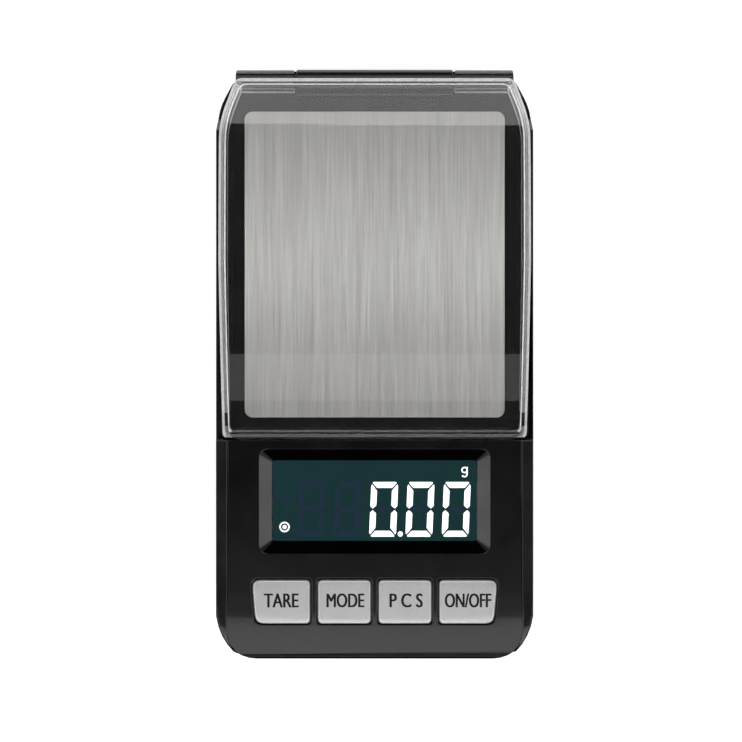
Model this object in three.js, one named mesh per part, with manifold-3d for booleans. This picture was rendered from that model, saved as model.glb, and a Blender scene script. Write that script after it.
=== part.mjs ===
// Pocket gram scale with a hinged clear lid, four keys, a lit display and two AAA cells.
// Millimetres. X runs across the scale, +Y points to the lid's hinge, +Z points up.
// The origin is under the middle of the scale, on the surface that the feet stand on.

import * as THREE from "three";
import { ConvexGeometry } from "three/addons/geometries/ConvexGeometry.js";
import { mergeVertices } from "three/addons/utils/BufferGeometryUtils.js";
import Module from "manifold-3d";

const wasm = await Module();
wasm.setup();

// ---------------------------------------------------------------- driving dimensions

const RUN = 0.3; // running gap between neighbours
const RIGHT = 1;
const LEFT = -1;

// Case outline in plan: straight sides, a quarter ellipse at each front corner, and slanted
// flanks that run in to tighter rear corners.
const HALF_WIDTH = 35;
const FRONT_Y = -65.4;
const REAR_Y = 64;
const CORNER_X = 9;
const CORNER_Y = 12.4;
const FLANK_START_Y = 56.5;
const FLANK_ROUND = 3.5;
const REAR_CORNER_X = 30.9;
const REAR_CORNER_ROUND = 2;
const WALL = 1.6;
const LIP_SKIN = 0.7; // the lower shell's inner lip, and what is left of the upper wall round it
const LIP_HEIGHT = 1.3;
const LIP_GAP = 0.25;
const HOLLOW_STEP_Z = 17; // the hollow is narrower above this height, under the side bevels

// Heights.
const BOTTOM_Z = 0.6;
const FLOOR_Z = 2.1;
const SPLIT_Z = 9;
const LEDGE_Z = 14.6;
const PLATEAU_Z = 15.8;
const DECK_Z = 20.6;
const NOSE_Z = 16.6;
const BEVEL_FOOT_Z = 18.6;
const BOTTOM_TAPER = 1.5; // how far the bottom edge is taken in
const TAPER_TOP_Z = 2.4;

// Display deck, its nose and its side bevels.
const STEP_Y = -16.8;
const NOSE_START_Y = -50;
const BEVEL_WIDTH = 2.7;
const DECK_SKIN = 1.7;
const LEDGE_SKIN = 1.5;

// Plateau under the lid.
const PLATEAU_HALF_X = 31.2;
const PLATEAU_FLANK_Y = 50;
const PLATEAU_REAR_X = 29.9;
const PLATEAU_REAR_Y = 59.1;
const PLATEAU_ROUND = 4;

// Rims outside the lid's side walls, which end in a slope at the rear.
const RIM_TOP_REAR_Y = 51.5;
const RIM_FOOT_REAR_Y = 55.5;

// Display opening: a funnel with a thin lip at the bottom.
const DISPLAY_Y = -30.2;
const FUNNEL_X = 50.7;
const FUNNEL_Y = 23.1;
const OPENING_X = 45;
const OPENING_Y = 17.8;
const LIP_TOP_Z = 18.7;
const LIP_LOW_Z = 18.1;
const OPENING_ROUND = 0.7;
const MOUTH_ROUND = 2.3;
const FUNNEL_WALL_X = 1.2;
const FUNNEL_WALL_Y = 0.7;

// Keys.
const KEY_REAR_Y = -47.4;
const KEY_FRONT_Y = -57.05;
const KEY_GAP = 1.7;
const INNER_KEY_WIDTH = 11.6;
const OUTER_KEY_WIDTH = 12.75;
const KEY_SLANT = 0.77;
const KEY_PROUD = 0.35;
const FLANGE_LOW_Z = 16.9;
const FLANGE_TOP_Z = 17.7;
const FLANGE_WIDTH = 0.6;
const KEY_ROUND = 1;
const OUTER_KEY_ROUND = 1.8;
const KEY_EDGE_IN = 0.3;
const KEY_EDGE_DROP = 0.35;

// Lid.
const LID_HALF_X = 33.85;
const LID_FRONT_HALF_X = 33.3;
const LID_FLANK_X = 33.8;
const LID_FLANK_Y = 52.5;
const LID_FLANK_ROUND = 4;
const LID_REAR_X = 30.3;
const LID_REAR_ROUND = 1.5;
const LID_FRONT_Y = -16.2;
const LID_REAR_Y = 62.2;
const LID_WALL = 1.2;
const LID_FRONT_ROUND = 1;
const LID_LOW_Z = 14.9;
const CROWN_TOP_Z = 25.4;
const CROWN_Y = 30;
const CROWN_RADIUS = 260;
const CROWN_SKIN = 1.2;

// Snap at the front of each side wall: a nib on the case in a notch in the lid.
const NIB_X = 32.5;
const NIB_FRONT_Y = -12.6;
const NIB_REAR_Y = -11.2;
const NOTCH_MARGIN = 0.8;
const NOTCH_TOP_Z = 16.2;
const LID_PLATEAU_MARGIN = 0.9; // room round the plateau where the lid's front wall steps over it

// Hinge.
const HINGE_Y = 62.6;
const HINGE_Z = 16.2;
const BARREL_RADIUS = 2.7;
const BARREL_HALF_X = 17.3;
const KNUCKLE_RADIUS = 2.6;
const KNUCKLE_IN_X = 17.7;
const KNUCKLE_OUT_X = 30.7;
const KNUCKLE_ROOM = 0.4;
const HINGE_PIN_RADIUS = 1.5;
const HINGE_PIN_IN_X = 13.3;
const HINGE_PIN_OUT_X = 30.5;

// Ridge along the rear of the case that cradles the knuckles.
const RIDGE_HALF_X = 31.1;
const RIDGE_FRONT_Y = 57;
const RIDGE_REAR_Y = 65.2;
const RIDGE_INNER_LOW_Z = 11.6;
const RIDGE_LOW_Z = 10.8;
const RIDGE_FULL_Z = 12.2;
const RIDGE_TOP_Z = 14.5;
const RIDGE_ROUND = 0.9;
const BARREL_SEAT_FRONT_Y = 59.4;
const BARREL_SEAT_LOW_Z = 12;

// Weighing platform.
const PLATFORM_Y = 21.9;
const PLATE_X = 57.4;
const PLATE_Y = 67.4;
const PLATE_LOW_Z = 17.6;
const PLATE_TOP_Z = 18.4;
const PLATE_ROUND = 1.8;
const TRAY_LOW_Z = 16.4;
const TRAY_TOP_Z = 17.5;
const TRAY_INSET = 1;
const TRAY_POST_X = 6;
const TRAY_POST_FRONT_Y = 33.2;
const TRAY_POST_REAR_Y = 44.6;
const POST_WINDOW_MARGIN = 1.2; // room round the tray's post where it passes through the plateau

// Load cell.
const BEAM_LENGTH = 47;
const BEAM_WIDTH = 12;
const BEAM_LOW_Z = 6.6;
const BEAM_TOP_Z = 12.6;
const BEAM_END_TO_SCREW = 3.5;
const BEAM_SCREW_SPACING = 6.5;
const BEAM_EYE_SPACING = 10;
const BEAM_EYE_RADIUS = 2.3;
const BEAM_SLOT_HALF = 0.9;
const BEAM_HOLE_RADIUS = 1.5;
const BEAM_SCREW_Z = 4.9;
const BEAM_BOSS_FRONT_Y = -2;
const BEAM_BOSS_REAR_Y = 11;
const BEAM_BOSS_HALF_X = 6.5;
const BEAM_SCREW_HOLE_TOP_Z = 15.2;
const BEAM_SCREW = { headRadius: 2.5, headHeight: 1.6, shankRadius: 1.2, shankLength: 8.3 };
const GAUGE_HALF_X = 4;
const GAUGE_HALF_Y = 7;
const GAUGE_SKIN = 0.35;
const GAUGE_GAP = 0.05;
const BEAM_GAP = 0.15; // shim gap between the beam and what it is screwed to

// Electronics.
const BOARD_LOW_Z = 13.9;
const BOARD_TOP_Z = 14.9;
const BOARD_HALF_X = 26.4;
const BOARD_REAR_Y = -18.9;
const BOARD_FRONT_Y = -58.5;
const EAR_HALF_X = 31;
const EAR_Y = -36;
const EAR_HALF_Y = 3;
const BOARD_SCREW_X = 29;
const BOARD_HOLE_RADIUS = 1.1;
const BOARD_BOSS_RADIUS = 1.9;
const BOARD_SCREW_Z = 12.6;
const BOARD_SCREW_HOLE_TOP_Z = 18.3;
const BOARD_SCREW = { headRadius: 1.7, headHeight: 1.2, shankRadius: 0.8, shankLength: 4.2 };
const CHIP_LOW_Z = 12.4;
const CAPACITOR_LOW_Z = 8.4;
const CAPACITOR_RADIUS = 2.5;

// Display stack: lens, glass, backlight, zebra strip and the frame round them.
const WINDOW_X = 48.4;
const WINDOW_Y = 20;
const WINDOW_LOW_Z = 17.4;
const WINDOW_TOP_Z = 18;
const GLASS_HALF_X = 24.3;
const GLASS_HALF_Y = 10.1;
const GLASS_LOW_Z = 15.9;
const GLASS_TOP_Z = 17.3;
const HOLDER_HALF_X = 26;
const HOLDER_HALF_Y = 11.5;
const HOLDER_TOP_Z = 17.9;
const STACK_LOW_Z = 15;
const BACKLIGHT_TOP_Z = 15.8;
const BACKLIGHT_HALF_X = 23.5;
const ZEBRA_HALF_X = 22.5;
const ZEBRA_REAR_Y = DISPLAY_Y - 8.6;
const HOLDER_GAP = 0.25;

// Tactile switches.
const SWITCH_HALF = 3;
const SWITCH_TOP_Z = 16.3;
const SWITCH_WELL_Z = 15.2;
const SWITCH_WELL_RADIUS = 1.8;
const PLUNGER_LOW_Z = 15.75;
const PLUNGER_RADIUS = 1.45;

// Battery bay and AAA cells.
const CELL_RADIUS = 5.15;
const CELL_BODY = 43.5;
const CELL_NUB = 1;
const CELL_NUB_RADIUS = 1.9;
const CELL_Z = 7.65;
const CELL_FRONT_Y = -55.2;
const CELL_REAR_Y = -44.4;
const BAY_HALF_X = 25;
const BAY_FRONT_Y = -60.8;
const BAY_REAR_Y = -38.8;
const BAY_WALL = 1.2;
const BAY_TOP_Z = 13.6;
const BAY_CEILING_Z = 12.95;
const BAY_FLOOR_Z = 1.3;
const BAY_SKIRT_X = 28.4;
const BAY_SKIRT_TOP_Z = 4.2;
const WIRE_SLOT_HALF = 1.7;
const WIRE_SLOT_LOW_Z = 10.8;

// Battery door: a tongue that fills the floor's opening, and wider runners above it.
const DOOR_TONGUE_X = 23.9;
const DOOR_RUNNER_X = 26.6;
const DOOR_STEP_Z = 1.6;
const DOOR_TOP_Z = 2.3;
const DOOR_ROOM = 0.3;
const GRIP_HALF_X = 7;
const GRIP_HALF_Y = 0.4;
const GRIP_DEPTH = 0.35;
const GRIPS_Y = [-60, -58, -56, -54];
const CONTACT_X = 24.6;
const CONTACT_SKIN = 0.3;
const CONTACT_HALF_Y = 4.4;
const CONTACT_LOW_Z = 3.2;
const CONTACT_TOP_Z = 11.9;
const TAB_LENGTH = 2.5;
const TAB_HALF_Y = 1.2;
const TAB_SKIN = 0.4;
const SPRING_TURNS = 3;
const SPRING_STEPS_PER_TURN = 10;
const SPRING_FOOT_RADIUS = 3.7;
const SPRING_TIP_RADIUS = 2.3;
const SPRING_LENGTH = 3.6;
const SPRING_FOOT_GAP = 0.4;
const SPRING_WIRE_RADIUS = 0.28;
const CELL_GAP = 0.2;

// Fasteners and feet.
const CASE_SCREWS = [
  { name: "front_left", x: -30.1, y: -27 },
  { name: "front_right", x: 30.1, y: -27 },
  { name: "rear_left", x: -27.3, y: 38 },
  { name: "rear_right", x: 27.3, y: 38 },
];
const FEET = [
  { name: "front_left", x: -29, y: -52 },
  { name: "front_right", x: 29, y: -52 },
  { name: "rear_left", x: -26, y: 50 },
  { name: "rear_right", x: 26, y: 50 },
];
const FOOT_RADIUS = 3.4;
const FOOT_TOP_Z = 0.9;
const FOOT_POCKET_Z = 1;
const CASE_BOSS_RADIUS = 2.9;
const CASE_POST_RADIUS = 2.7;
const CASE_SCREW_HOLE = 1.4;
const CASE_SCREW_HEAD_HOLE = 2.4;
const CASE_SCREW_Z = 1.5;
const HEAD_SEAT_Z = 3.3;
const CASE_SCREW_HOLE_TOP_Z = 13.4;
const CASE_SCREW = { headRadius: 2.1, headHeight: 1.6, shankRadius: 1.1, shankLength: 9.8 };
const CASE_POST_Z = SPLIT_Z + 0.2;
const RECESS_HALF = 0.25; // half the width of a cross recess's arms
const RIBS_Y = [-8, 28];
const RIB_HALF = 0.6;
const RIB_TOP_Z = 4.1;

const OVERLAP = 0.1; // how far joined solids run into each other
const PAST = 1; // how far a cut runs past the surface that it opens
const ALL_X = 40; // beyond the case on either side
const ABOVE_Z = 30; // above everything
const SMALL_ROUND = 0.1;
const TOUCH = 0.01;

// ---------------------------------------------------------------- solids

function solidFrom(geometry) {
  const bare = geometry.clone();
  bare.deleteAttribute("normal");
  bare.deleteAttribute("uv");
  const merged = mergeVertices(bare, 1e-4);
  const index = merged.index.array;
  const kept = [];
  for (let i = 0; i < index.length; i += 3) {
    const [a, b, c] = [index[i], index[i + 1], index[i + 2]];
    if (a !== b && b !== c && c !== a) kept.push(a, b, c);
  }
  const vertProperties = new Float32Array(merged.attributes.position.array);
  const triVerts = new Uint32Array(kept);
  return new wasm.Manifold(new wasm.Mesh({ numProp: 3, vertProperties, triVerts }));
}

function geometryFrom(solid) {
  const mesh = solid.getMesh();
  const geometry = new THREE.BufferGeometry();
  geometry.setAttribute("position", new THREE.BufferAttribute(mesh.vertProperties, 3));
  geometry.setIndex(new THREE.BufferAttribute(mesh.triVerts, 1));
  geometry.computeVertexNormals();
  return geometry;
}

function joined(...solids) {
  return solids.reduce((whole, next) => whole.add(next));
}

function block(x0, x1, y0, y1, z0, z1) {
  const geometry = new THREE.BoxGeometry(x1 - x0, y1 - y0, z1 - z0);
  geometry.translate((x0 + x1) / 2, (y0 + y1) / 2, (z0 + z1) / 2);
  return solidFrom(geometry);
}

// A round post that stands on (x, y) from z0 to z1.
function post(x, y, z0, z1, radius, sides = 16, footRadius = radius) {
  const geometry = new THREE.CylinderGeometry(radius, footRadius, z1 - z0, sides);
  geometry.rotateX(Math.PI / 2);
  geometry.translate(x, y, (z0 + z1) / 2);
  return solidFrom(geometry);
}

// A round rod along X through (y, z).
function rod(y, z, x0, x1, radius, sides = 20) {
  const geometry = new THREE.CylinderGeometry(radius, radius, x1 - x0, sides);
  geometry.rotateZ(Math.PI / 2);
  geometry.translate((x0 + x1) / 2, y, z);
  return solidFrom(geometry);
}

// A plan outline raised from z0 to z1.
function raised(shape, z0, z1, curveSegments = 4) {
  const options = { depth: z1 - z0, bevelEnabled: false, curveSegments };
  const geometry = new THREE.ExtrudeGeometry(shape, options);
  geometry.translate(0, 0, z0);
  return solidFrom(geometry);
}

// A side-view outline, drawn as (Y, Z), carried across the scale from x0 to x1.
function across(shape, x0, x1, curveSegments = 4) {
  const options = { depth: x1 - x0, bevelEnabled: false, curveSegments };
  const geometry = new THREE.ExtrudeGeometry(shape, options);
  const alongY = new THREE.Vector3(0, 1, 0);
  const alongZ = new THREE.Vector3(0, 0, 1);
  const alongX = new THREE.Vector3(1, 0, 0);
  geometry.applyMatrix4(new THREE.Matrix4().makeBasis(alongY, alongZ, alongX));
  geometry.translate(x0, 0, 0);
  return solidFrom(geometry);
}

// The convex body between plan outlines, each lying at its own height.
function loft(...rings) {
  const points = rings.flatMap(({ shape, z, segments = 4 }) =>
    shape.getPoints(segments).map((p) => new THREE.Vector3(p.x, p.y, typeof z === "function" ? z(p.y) : z)),
  );
  return solidFrom(new ConvexGeometry(points));
}

// A turned piece: the profile is a list of [radius, height] that starts and ends on the axis.
function turned(profile, sides = 20) {
  const points = profile.map(([radius, height]) => new THREE.Vector2(radius, height));
  const geometry = new THREE.LatheGeometry(points, sides);
  geometry.rotateX(Math.PI / 2);
  return solidFrom(geometry);
}

// A round wire that follows the given points.
function wire(points, radius, steps) {
  const path = new THREE.CatmullRomCurve3(points.map((p) => new THREE.Vector3(...p)));
  const section = new THREE.Shape();
  section.absarc(0, 0, radius, 0, 2 * Math.PI);
  const options = { steps, extrudePath: path, curveSegments: 3 };
  return solidFrom(new THREE.ExtrudeGeometry(section, options));
}

// ---------------------------------------------------------------- outlines

// A polygon with each corner rounded by its own radius, corners given anticlockwise.
function roundedPolygon(corners) {
  const shape = new THREE.Shape();
  corners.forEach(({ x, y, r }, i) => {
    const at = new THREE.Vector2(x, y);
    const before = corners[(i + corners.length - 1) % corners.length];
    const after = corners[(i + 1) % corners.length];
    const start = new THREE.Vector2(before.x, before.y).sub(at).setLength(r).add(at);
    const end = new THREE.Vector2(after.x, after.y).sub(at).setLength(r).add(at);
    if (i === 0) shape.moveTo(start.x, start.y);
    else shape.lineTo(start.x, start.y);
    shape.quadraticCurveTo(x, y, end.x, end.y);
  });
  shape.closePath();
  return shape;
}

function roundedRectangle(x, y, width, depth, radius) {
  const [left, right] = [x - width / 2, x + width / 2];
  const [front, rear] = [y - depth / 2, y + depth / 2];
  return roundedPolygon([
    { x: right, y: front, r: radius },
    { x: right, y: rear, r: radius },
    { x: left, y: rear, r: radius },
    { x: left, y: front, r: radius },
  ]);
}

// The case's outline in plan. The sides alone come in by sideInset, and everything by inset.
function caseOutline(inset = 0, sideInset = 0) {
  const side = HALF_WIDTH - inset - sideInset;
  const cornerX = CORNER_X - inset - sideInset;
  const cornerY = CORNER_Y - inset;
  const centreX = HALF_WIDTH - CORNER_X;
  const frontY = FRONT_Y + CORNER_Y;
  const rearX = REAR_CORNER_X - 0.8 * inset - sideInset;
  const rearY = REAR_Y - inset;
  const flank = new THREE.Vector2(side - rearX, FLANK_START_Y - rearY).normalize();
  const bend = { x: side - FLANK_ROUND * flank.x, y: FLANK_START_Y - FLANK_ROUND * flank.y };
  const turn = { x: rearX + REAR_CORNER_ROUND * flank.x, y: rearY + REAR_CORNER_ROUND * flank.y };
  const shape = new THREE.Shape();
  shape.moveTo(side, frontY);
  shape.lineTo(side, FLANK_START_Y - FLANK_ROUND);
  shape.quadraticCurveTo(side, FLANK_START_Y, bend.x, bend.y);
  shape.lineTo(turn.x, turn.y);
  shape.quadraticCurveTo(rearX, rearY, rearX - REAR_CORNER_ROUND, rearY);
  shape.lineTo(REAR_CORNER_ROUND - rearX, rearY);
  shape.quadraticCurveTo(-rearX, rearY, -turn.x, turn.y);
  shape.lineTo(-bend.x, bend.y);
  shape.quadraticCurveTo(-side, FLANK_START_Y, -side, FLANK_START_Y - FLANK_ROUND);
  shape.lineTo(-side, frontY);
  shape.absellipse(-centreX, frontY, cornerX, cornerY, Math.PI, 1.5 * Math.PI);
  shape.absellipse(centreX, frontY, cornerX, cornerY, -Math.PI / 2, 0);
  return shape;
}

// The height of the deck's top surface at y, falling along the nose.
function deckHeight(y) {
  if (y > NOSE_START_Y) return DECK_Z;
  const along = (NOSE_START_Y - y) / (NOSE_START_Y - FRONT_Y);
  return NOSE_Z + (DECK_Z - NOSE_Z) * Math.sqrt(Math.max(0, 1 - along * along));
}

// The side view of the upper shell, or of its hollow when it is drawn smaller by the skins.
function upperSideView(low, inset, deckSkin, ledgeSkin) {
  const noseLength = NOSE_START_Y - FRONT_Y - inset;
  const noseFoot = NOSE_Z - inset / 4;
  const top = DECK_Z - deckSkin;
  const shape = new THREE.Shape();
  shape.moveTo(FRONT_Y + inset, low);
  shape.lineTo(REAR_Y - inset, low);
  shape.lineTo(REAR_Y - inset, LEDGE_Z - ledgeSkin);
  shape.lineTo(STEP_Y - inset, LEDGE_Z - ledgeSkin);
  shape.lineTo(STEP_Y - inset, top);
  shape.absellipse(NOSE_START_Y, noseFoot, noseLength, top - noseFoot, Math.PI / 2, Math.PI);
  shape.closePath();
  return shape;
}

function plateauOutline(inset = 0) {
  const halfX = PLATEAU_HALF_X - inset;
  const rearX = PLATEAU_REAR_X - inset;
  const rear = PLATEAU_REAR_Y - inset;
  const front = STEP_Y - 1 + inset;
  return roundedPolygon([
    { x: halfX, y: front, r: SMALL_ROUND },
    { x: halfX, y: PLATEAU_FLANK_Y, r: PLATEAU_ROUND },
    { x: rearX, y: rear, r: PLATEAU_ROUND },
    { x: -rearX, y: rear, r: PLATEAU_ROUND },
    { x: -halfX, y: PLATEAU_FLANK_Y, r: PLATEAU_ROUND },
    { x: -halfX, y: front, r: SMALL_ROUND },
  ]);
}

// The four keys from left to right, each with its own edges. outer is the side that slants.
const KEY_EDGE = KEY_GAP / 2 + INNER_KEY_WIDTH;
const KEYS = [
  { name: "tare", left: -KEY_EDGE - KEY_GAP - OUTER_KEY_WIDTH, right: -KEY_EDGE - KEY_GAP, outer: LEFT },
  { name: "mode", left: -KEY_EDGE, right: -KEY_GAP / 2, outer: 0 },
  { name: "pieces", left: KEY_GAP / 2, right: KEY_EDGE, outer: 0 },
  { name: "power", left: KEY_EDGE + KEY_GAP, right: KEY_EDGE + KEY_GAP + OUTER_KEY_WIDTH, outer: RIGHT },
].map((key) => ({ ...key, x: (key.left + key.right) / 2, y: (KEY_REAR_Y + KEY_FRONT_Y) / 2 }));

function keyOutline(key, grow = 0) {
  const leftSlant = key.outer === LEFT ? KEY_SLANT : 0;
  const rightSlant = key.outer === RIGHT ? KEY_SLANT : 0;
  const leftRound = key.outer === LEFT ? OUTER_KEY_ROUND : KEY_ROUND;
  const rightRound = key.outer === RIGHT ? OUTER_KEY_ROUND : KEY_ROUND;
  return roundedPolygon([
    { x: key.right + grow - rightSlant, y: KEY_FRONT_Y - grow, r: rightRound },
    { x: key.right + grow, y: KEY_REAR_Y + grow, r: rightRound },
    { x: key.left - grow, y: KEY_REAR_Y + grow, r: leftRound },
    { x: key.left - grow + leftSlant, y: KEY_FRONT_Y - grow, r: leftRound },
  ]);
}

// ---------------------------------------------------------------- case

function buildBottomCase() {
  const bayOutX = BAY_HALF_X + BAY_WALL;
  const bayOutFront = BAY_FRONT_Y - BAY_WALL;
  const bayOutRear = BAY_REAR_Y + BAY_WALL;
  const doorWayRear = BAY_REAR_Y + DOOR_ROOM + OVERLAP;
  const doorWayTop = DOOR_TOP_Z + DOOR_ROOM;
  const tongue = DOOR_TONGUE_X + DOOR_ROOM;
  const runner = DOOR_RUNNER_X + DOOR_ROOM;
  const inside = WALL - HALF_WIDTH;
  const shell = bottomBlank().subtract(raised(caseOutline(WALL), FLOOR_Z, SPLIT_Z + PAST));
  const bay = joined(
    block(-bayOutX, bayOutX, bayOutFront, bayOutRear, BAY_FLOOR_Z, BAY_TOP_Z),
    block(-BAY_SKIRT_X, BAY_SKIRT_X, bayOutFront, bayOutRear, BAY_FLOOR_Z, BAY_SKIRT_TOP_Z),
  );
  const lip = wallRing(WALL - LIP_SKIN, SPLIT_Z - 2, SPLIT_Z + LIP_HEIGHT);
  const bossTop = SPLIT_Z - OVERLAP;
  const bosses = CASE_SCREWS.map(({ x, y }) => post(x, y, CASE_SCREW_Z, bossTop, CASE_BOSS_RADIUS));
  const ribs = RIBS_Y.map((y) =>
    block(inside, -inside, y - RIB_HALF, y + RIB_HALF, CASE_SCREW_Z, RIB_TOP_Z),
  );
  const wireSlots = [CELL_FRONT_Y, CELL_REAR_Y].map((y) =>
    block(
      BAY_HALF_X - PAST,
      bayOutX + PAST,
      y - WIRE_SLOT_HALF,
      y + WIRE_SLOT_HALF,
      WIRE_SLOT_LOW_Z,
      BAY_CEILING_Z,
    ),
  );
  const cuts = joined(
    block(-BAY_HALF_X, BAY_HALF_X, BAY_FRONT_Y, BAY_REAR_Y, PAST, BAY_CEILING_Z),
    block(-tongue, tongue, FRONT_Y - PAST, doorWayRear, 0, doorWayTop),
    block(-runner, runner, FRONT_Y - PAST, doorWayRear, DOOR_STEP_Z - DOOR_ROOM, doorWayTop),
    ...wireSlots,
    ...CASE_SCREWS.map(({ x, y }) => post(x, y, 0, HEAD_SEAT_Z, CASE_SCREW_HEAD_HOLE)),
    ...CASE_SCREWS.map(({ x, y }) => post(x, y, CASE_SCREW_Z, SPLIT_Z + PAST, CASE_SCREW_HOLE, 14)),
    ...FEET.map(({ x, y }) => post(x, y, 0, FOOT_POCKET_Z, FOOT_RADIUS + RUN)),
  );
  return joined(shell, lip, bay, ...bosses, ...ribs).subtract(cuts);
}

// The part of the case wall that lies further in than inset, from z0 to z1.
function wallRing(inset, z0, z1) {
  return raised(caseOutline(inset), z0, z1).subtract(raised(caseOutline(WALL), z0 - PAST, z1 + PAST));
}

// The lower shell's outside, with its bottom edge taken in all round.
function bottomBlank() {
  return joined(
    loft({ shape: caseOutline(BOTTOM_TAPER), z: BOTTOM_Z }, { shape: caseOutline(), z: TAPER_TOP_Z }),
    raised(caseOutline(), TAPER_TOP_Z - OVERLAP, SPLIT_Z),
  );
}

function buildBatteryDoor() {
  const rear = BAY_REAR_Y + OVERLAP;
  const plate = joined(
    block(-DOOR_TONGUE_X, DOOR_TONGUE_X, FRONT_Y, rear, 0, DOOR_STEP_Z),
    block(-DOOR_RUNNER_X, DOOR_RUNNER_X, FRONT_Y, rear, DOOR_STEP_Z - 0.05, DOOR_TOP_Z),
  );
  const grips = GRIPS_Y.map((y) =>
    block(-GRIP_HALF_X, GRIP_HALF_X, y - GRIP_HALF_Y, y + GRIP_HALF_Y, 0, BOTTOM_Z + GRIP_DEPTH),
  );
  return plate.intersect(bottomBlank()).subtract(joined(...grips));
}

function buildTopCase() {
  const low = SPLIT_Z + RUN;
  const outline = caseOutline();
  const outerSide = across(upperSideView(low, 0, 0, 0), -ALL_X, ALL_X, 6);
  const innerSide = across(upperSideView(low - PAST, WALL, DECK_SKIN, LEDGE_SKIN), -ALL_X, ALL_X);
  const body = joined(
    raised(outline, low, BEVEL_FOOT_Z),
    loft(
      { shape: outline, z: BEVEL_FOOT_Z - TOUCH },
      { shape: caseOutline(0, BEVEL_WIDTH), z: DECK_Z + TOUCH },
    ),
  );
  const hollow = joined(
    raised(caseOutline(WALL), low - PAST, HOLLOW_STEP_Z),
    raised(caseOutline(BEVEL_WIDTH), HOLLOW_STEP_Z - OVERLAP, DECK_Z),
  );
  const plateauHollow = block(
    WALL - PLATEAU_HALF_X,
    PLATEAU_HALF_X - WALL,
    STEP_Y + WALL,
    PLATEAU_REAR_Y - WALL,
    LEDGE_Z - LEDGE_SKIN - 0.5,
    PLATEAU_Z - LEDGE_SKIN,
  );
  const shell = joined(
    body.intersect(outerSide),
    raised(plateauOutline(), LEDGE_Z - 1, PLATEAU_Z),
    sideRims(),
  ).subtract(joined(hollow.intersect(innerSide), plateauHollow));
  return joined(shell, ...topCaseFittings()).subtract(topCaseCuts());
}

// The rims on the ledge, between the lid's side walls and the outside of the case.
function sideRims() {
  const side = new THREE.Shape();
  side.moveTo(STEP_Y - 1, LEDGE_Z - 1);
  side.lineTo(RIM_FOOT_REAR_Y, LEDGE_Z - 1);
  side.lineTo(RIM_TOP_REAR_Y, BEVEL_FOOT_Z);
  side.lineTo(STEP_Y - 1, BEVEL_FOOT_Z);
  side.closePath();
  const lidRoom = raised(lidOutline(-RUN), LEDGE_Z, ABOVE_Z);
  const frontRoom = block(RUN - LID_HALF_X, LID_HALF_X - RUN, STEP_Y - 2, 0, LEDGE_Z, ABOVE_Z);
  return across(side, -ALL_X, ALL_X)
    .intersect(raised(caseOutline(), LEDGE_Z - 2, DECK_Z))
    .subtract(joined(lidRoom, frontRoom));
}

// The ridge fills the case under the knuckles and stands behind them.
function rearRidge() {
  const side = new THREE.Shape();
  side.moveTo(RIDGE_FRONT_Y, RIDGE_INNER_LOW_Z);
  side.lineTo(REAR_Y - 0.4, RIDGE_LOW_Z);
  side.lineTo(RIDGE_REAR_Y, RIDGE_FULL_Z);
  side.lineTo(RIDGE_REAR_Y, RIDGE_TOP_Z);
  side.lineTo(RIDGE_FRONT_Y, RIDGE_TOP_Z);
  side.closePath();
  const plan = roundedRectangle(0, 0, 2 * RIDGE_HALF_X, 2 * RIDGE_REAR_Y, RIDGE_ROUND);
  return across(side, -ALL_X, ALL_X).intersect(raised(plan, RIDGE_LOW_Z - PAST, RIDGE_TOP_Z + PAST));
}

// Everything that stands on the inside of the upper shell, and the hinge barrel.
function topCaseFittings() {
  const ceiling = PLATEAU_Z - 1;
  const funnelX = FUNNEL_X / 2 + FUNNEL_WALL_X;
  const funnelY = FUNNEL_Y / 2 + FUNNEL_WALL_Y;
  const beamTop = BEAM_TOP_Z + BEAM_GAP;
  const nibFoot = PLATEAU_HALF_X - 0.5;
  const nibs = [[-NIB_X, -nibFoot], [nibFoot, NIB_X]].map(([left, right]) =>
    block(left, right, NIB_FRONT_Y, NIB_REAR_Y, LEDGE_Z - 0.5, PLATEAU_Z - RUN),
  );
  return [
    block(-funnelX, funnelX, DISPLAY_Y - funnelY, DISPLAY_Y + funnelY, LIP_LOW_Z, DECK_Z - 1),
    block(-BEAM_BOSS_HALF_X, BEAM_BOSS_HALF_X, BEAM_BOSS_FRONT_Y, BEAM_BOSS_REAR_Y, beamTop, ceiling),
    rearRidge(),
    block(-BARREL_HALF_X, BARREL_HALF_X, BARREL_SEAT_FRONT_Y, REAR_Y, BARREL_SEAT_LOW_Z, HINGE_Z),
    rod(HINGE_Y, HINGE_Z, -BARREL_HALF_X, BARREL_HALF_X, BARREL_RADIUS),
    ...nibs,
    ...CASE_SCREWS.map(({ x, y }) =>
      post(x, y, CASE_POST_Z, y > 0 ? ceiling : DECK_Z - 1, CASE_POST_RADIUS),
    ),
    ...[LEFT, RIGHT].map((side) =>
      post(side * BOARD_SCREW_X, EAR_Y, BOARD_TOP_Z + OVERLAP, DECK_Z - 1, BOARD_BOSS_RADIUS),
    ),
  ];
}

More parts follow.
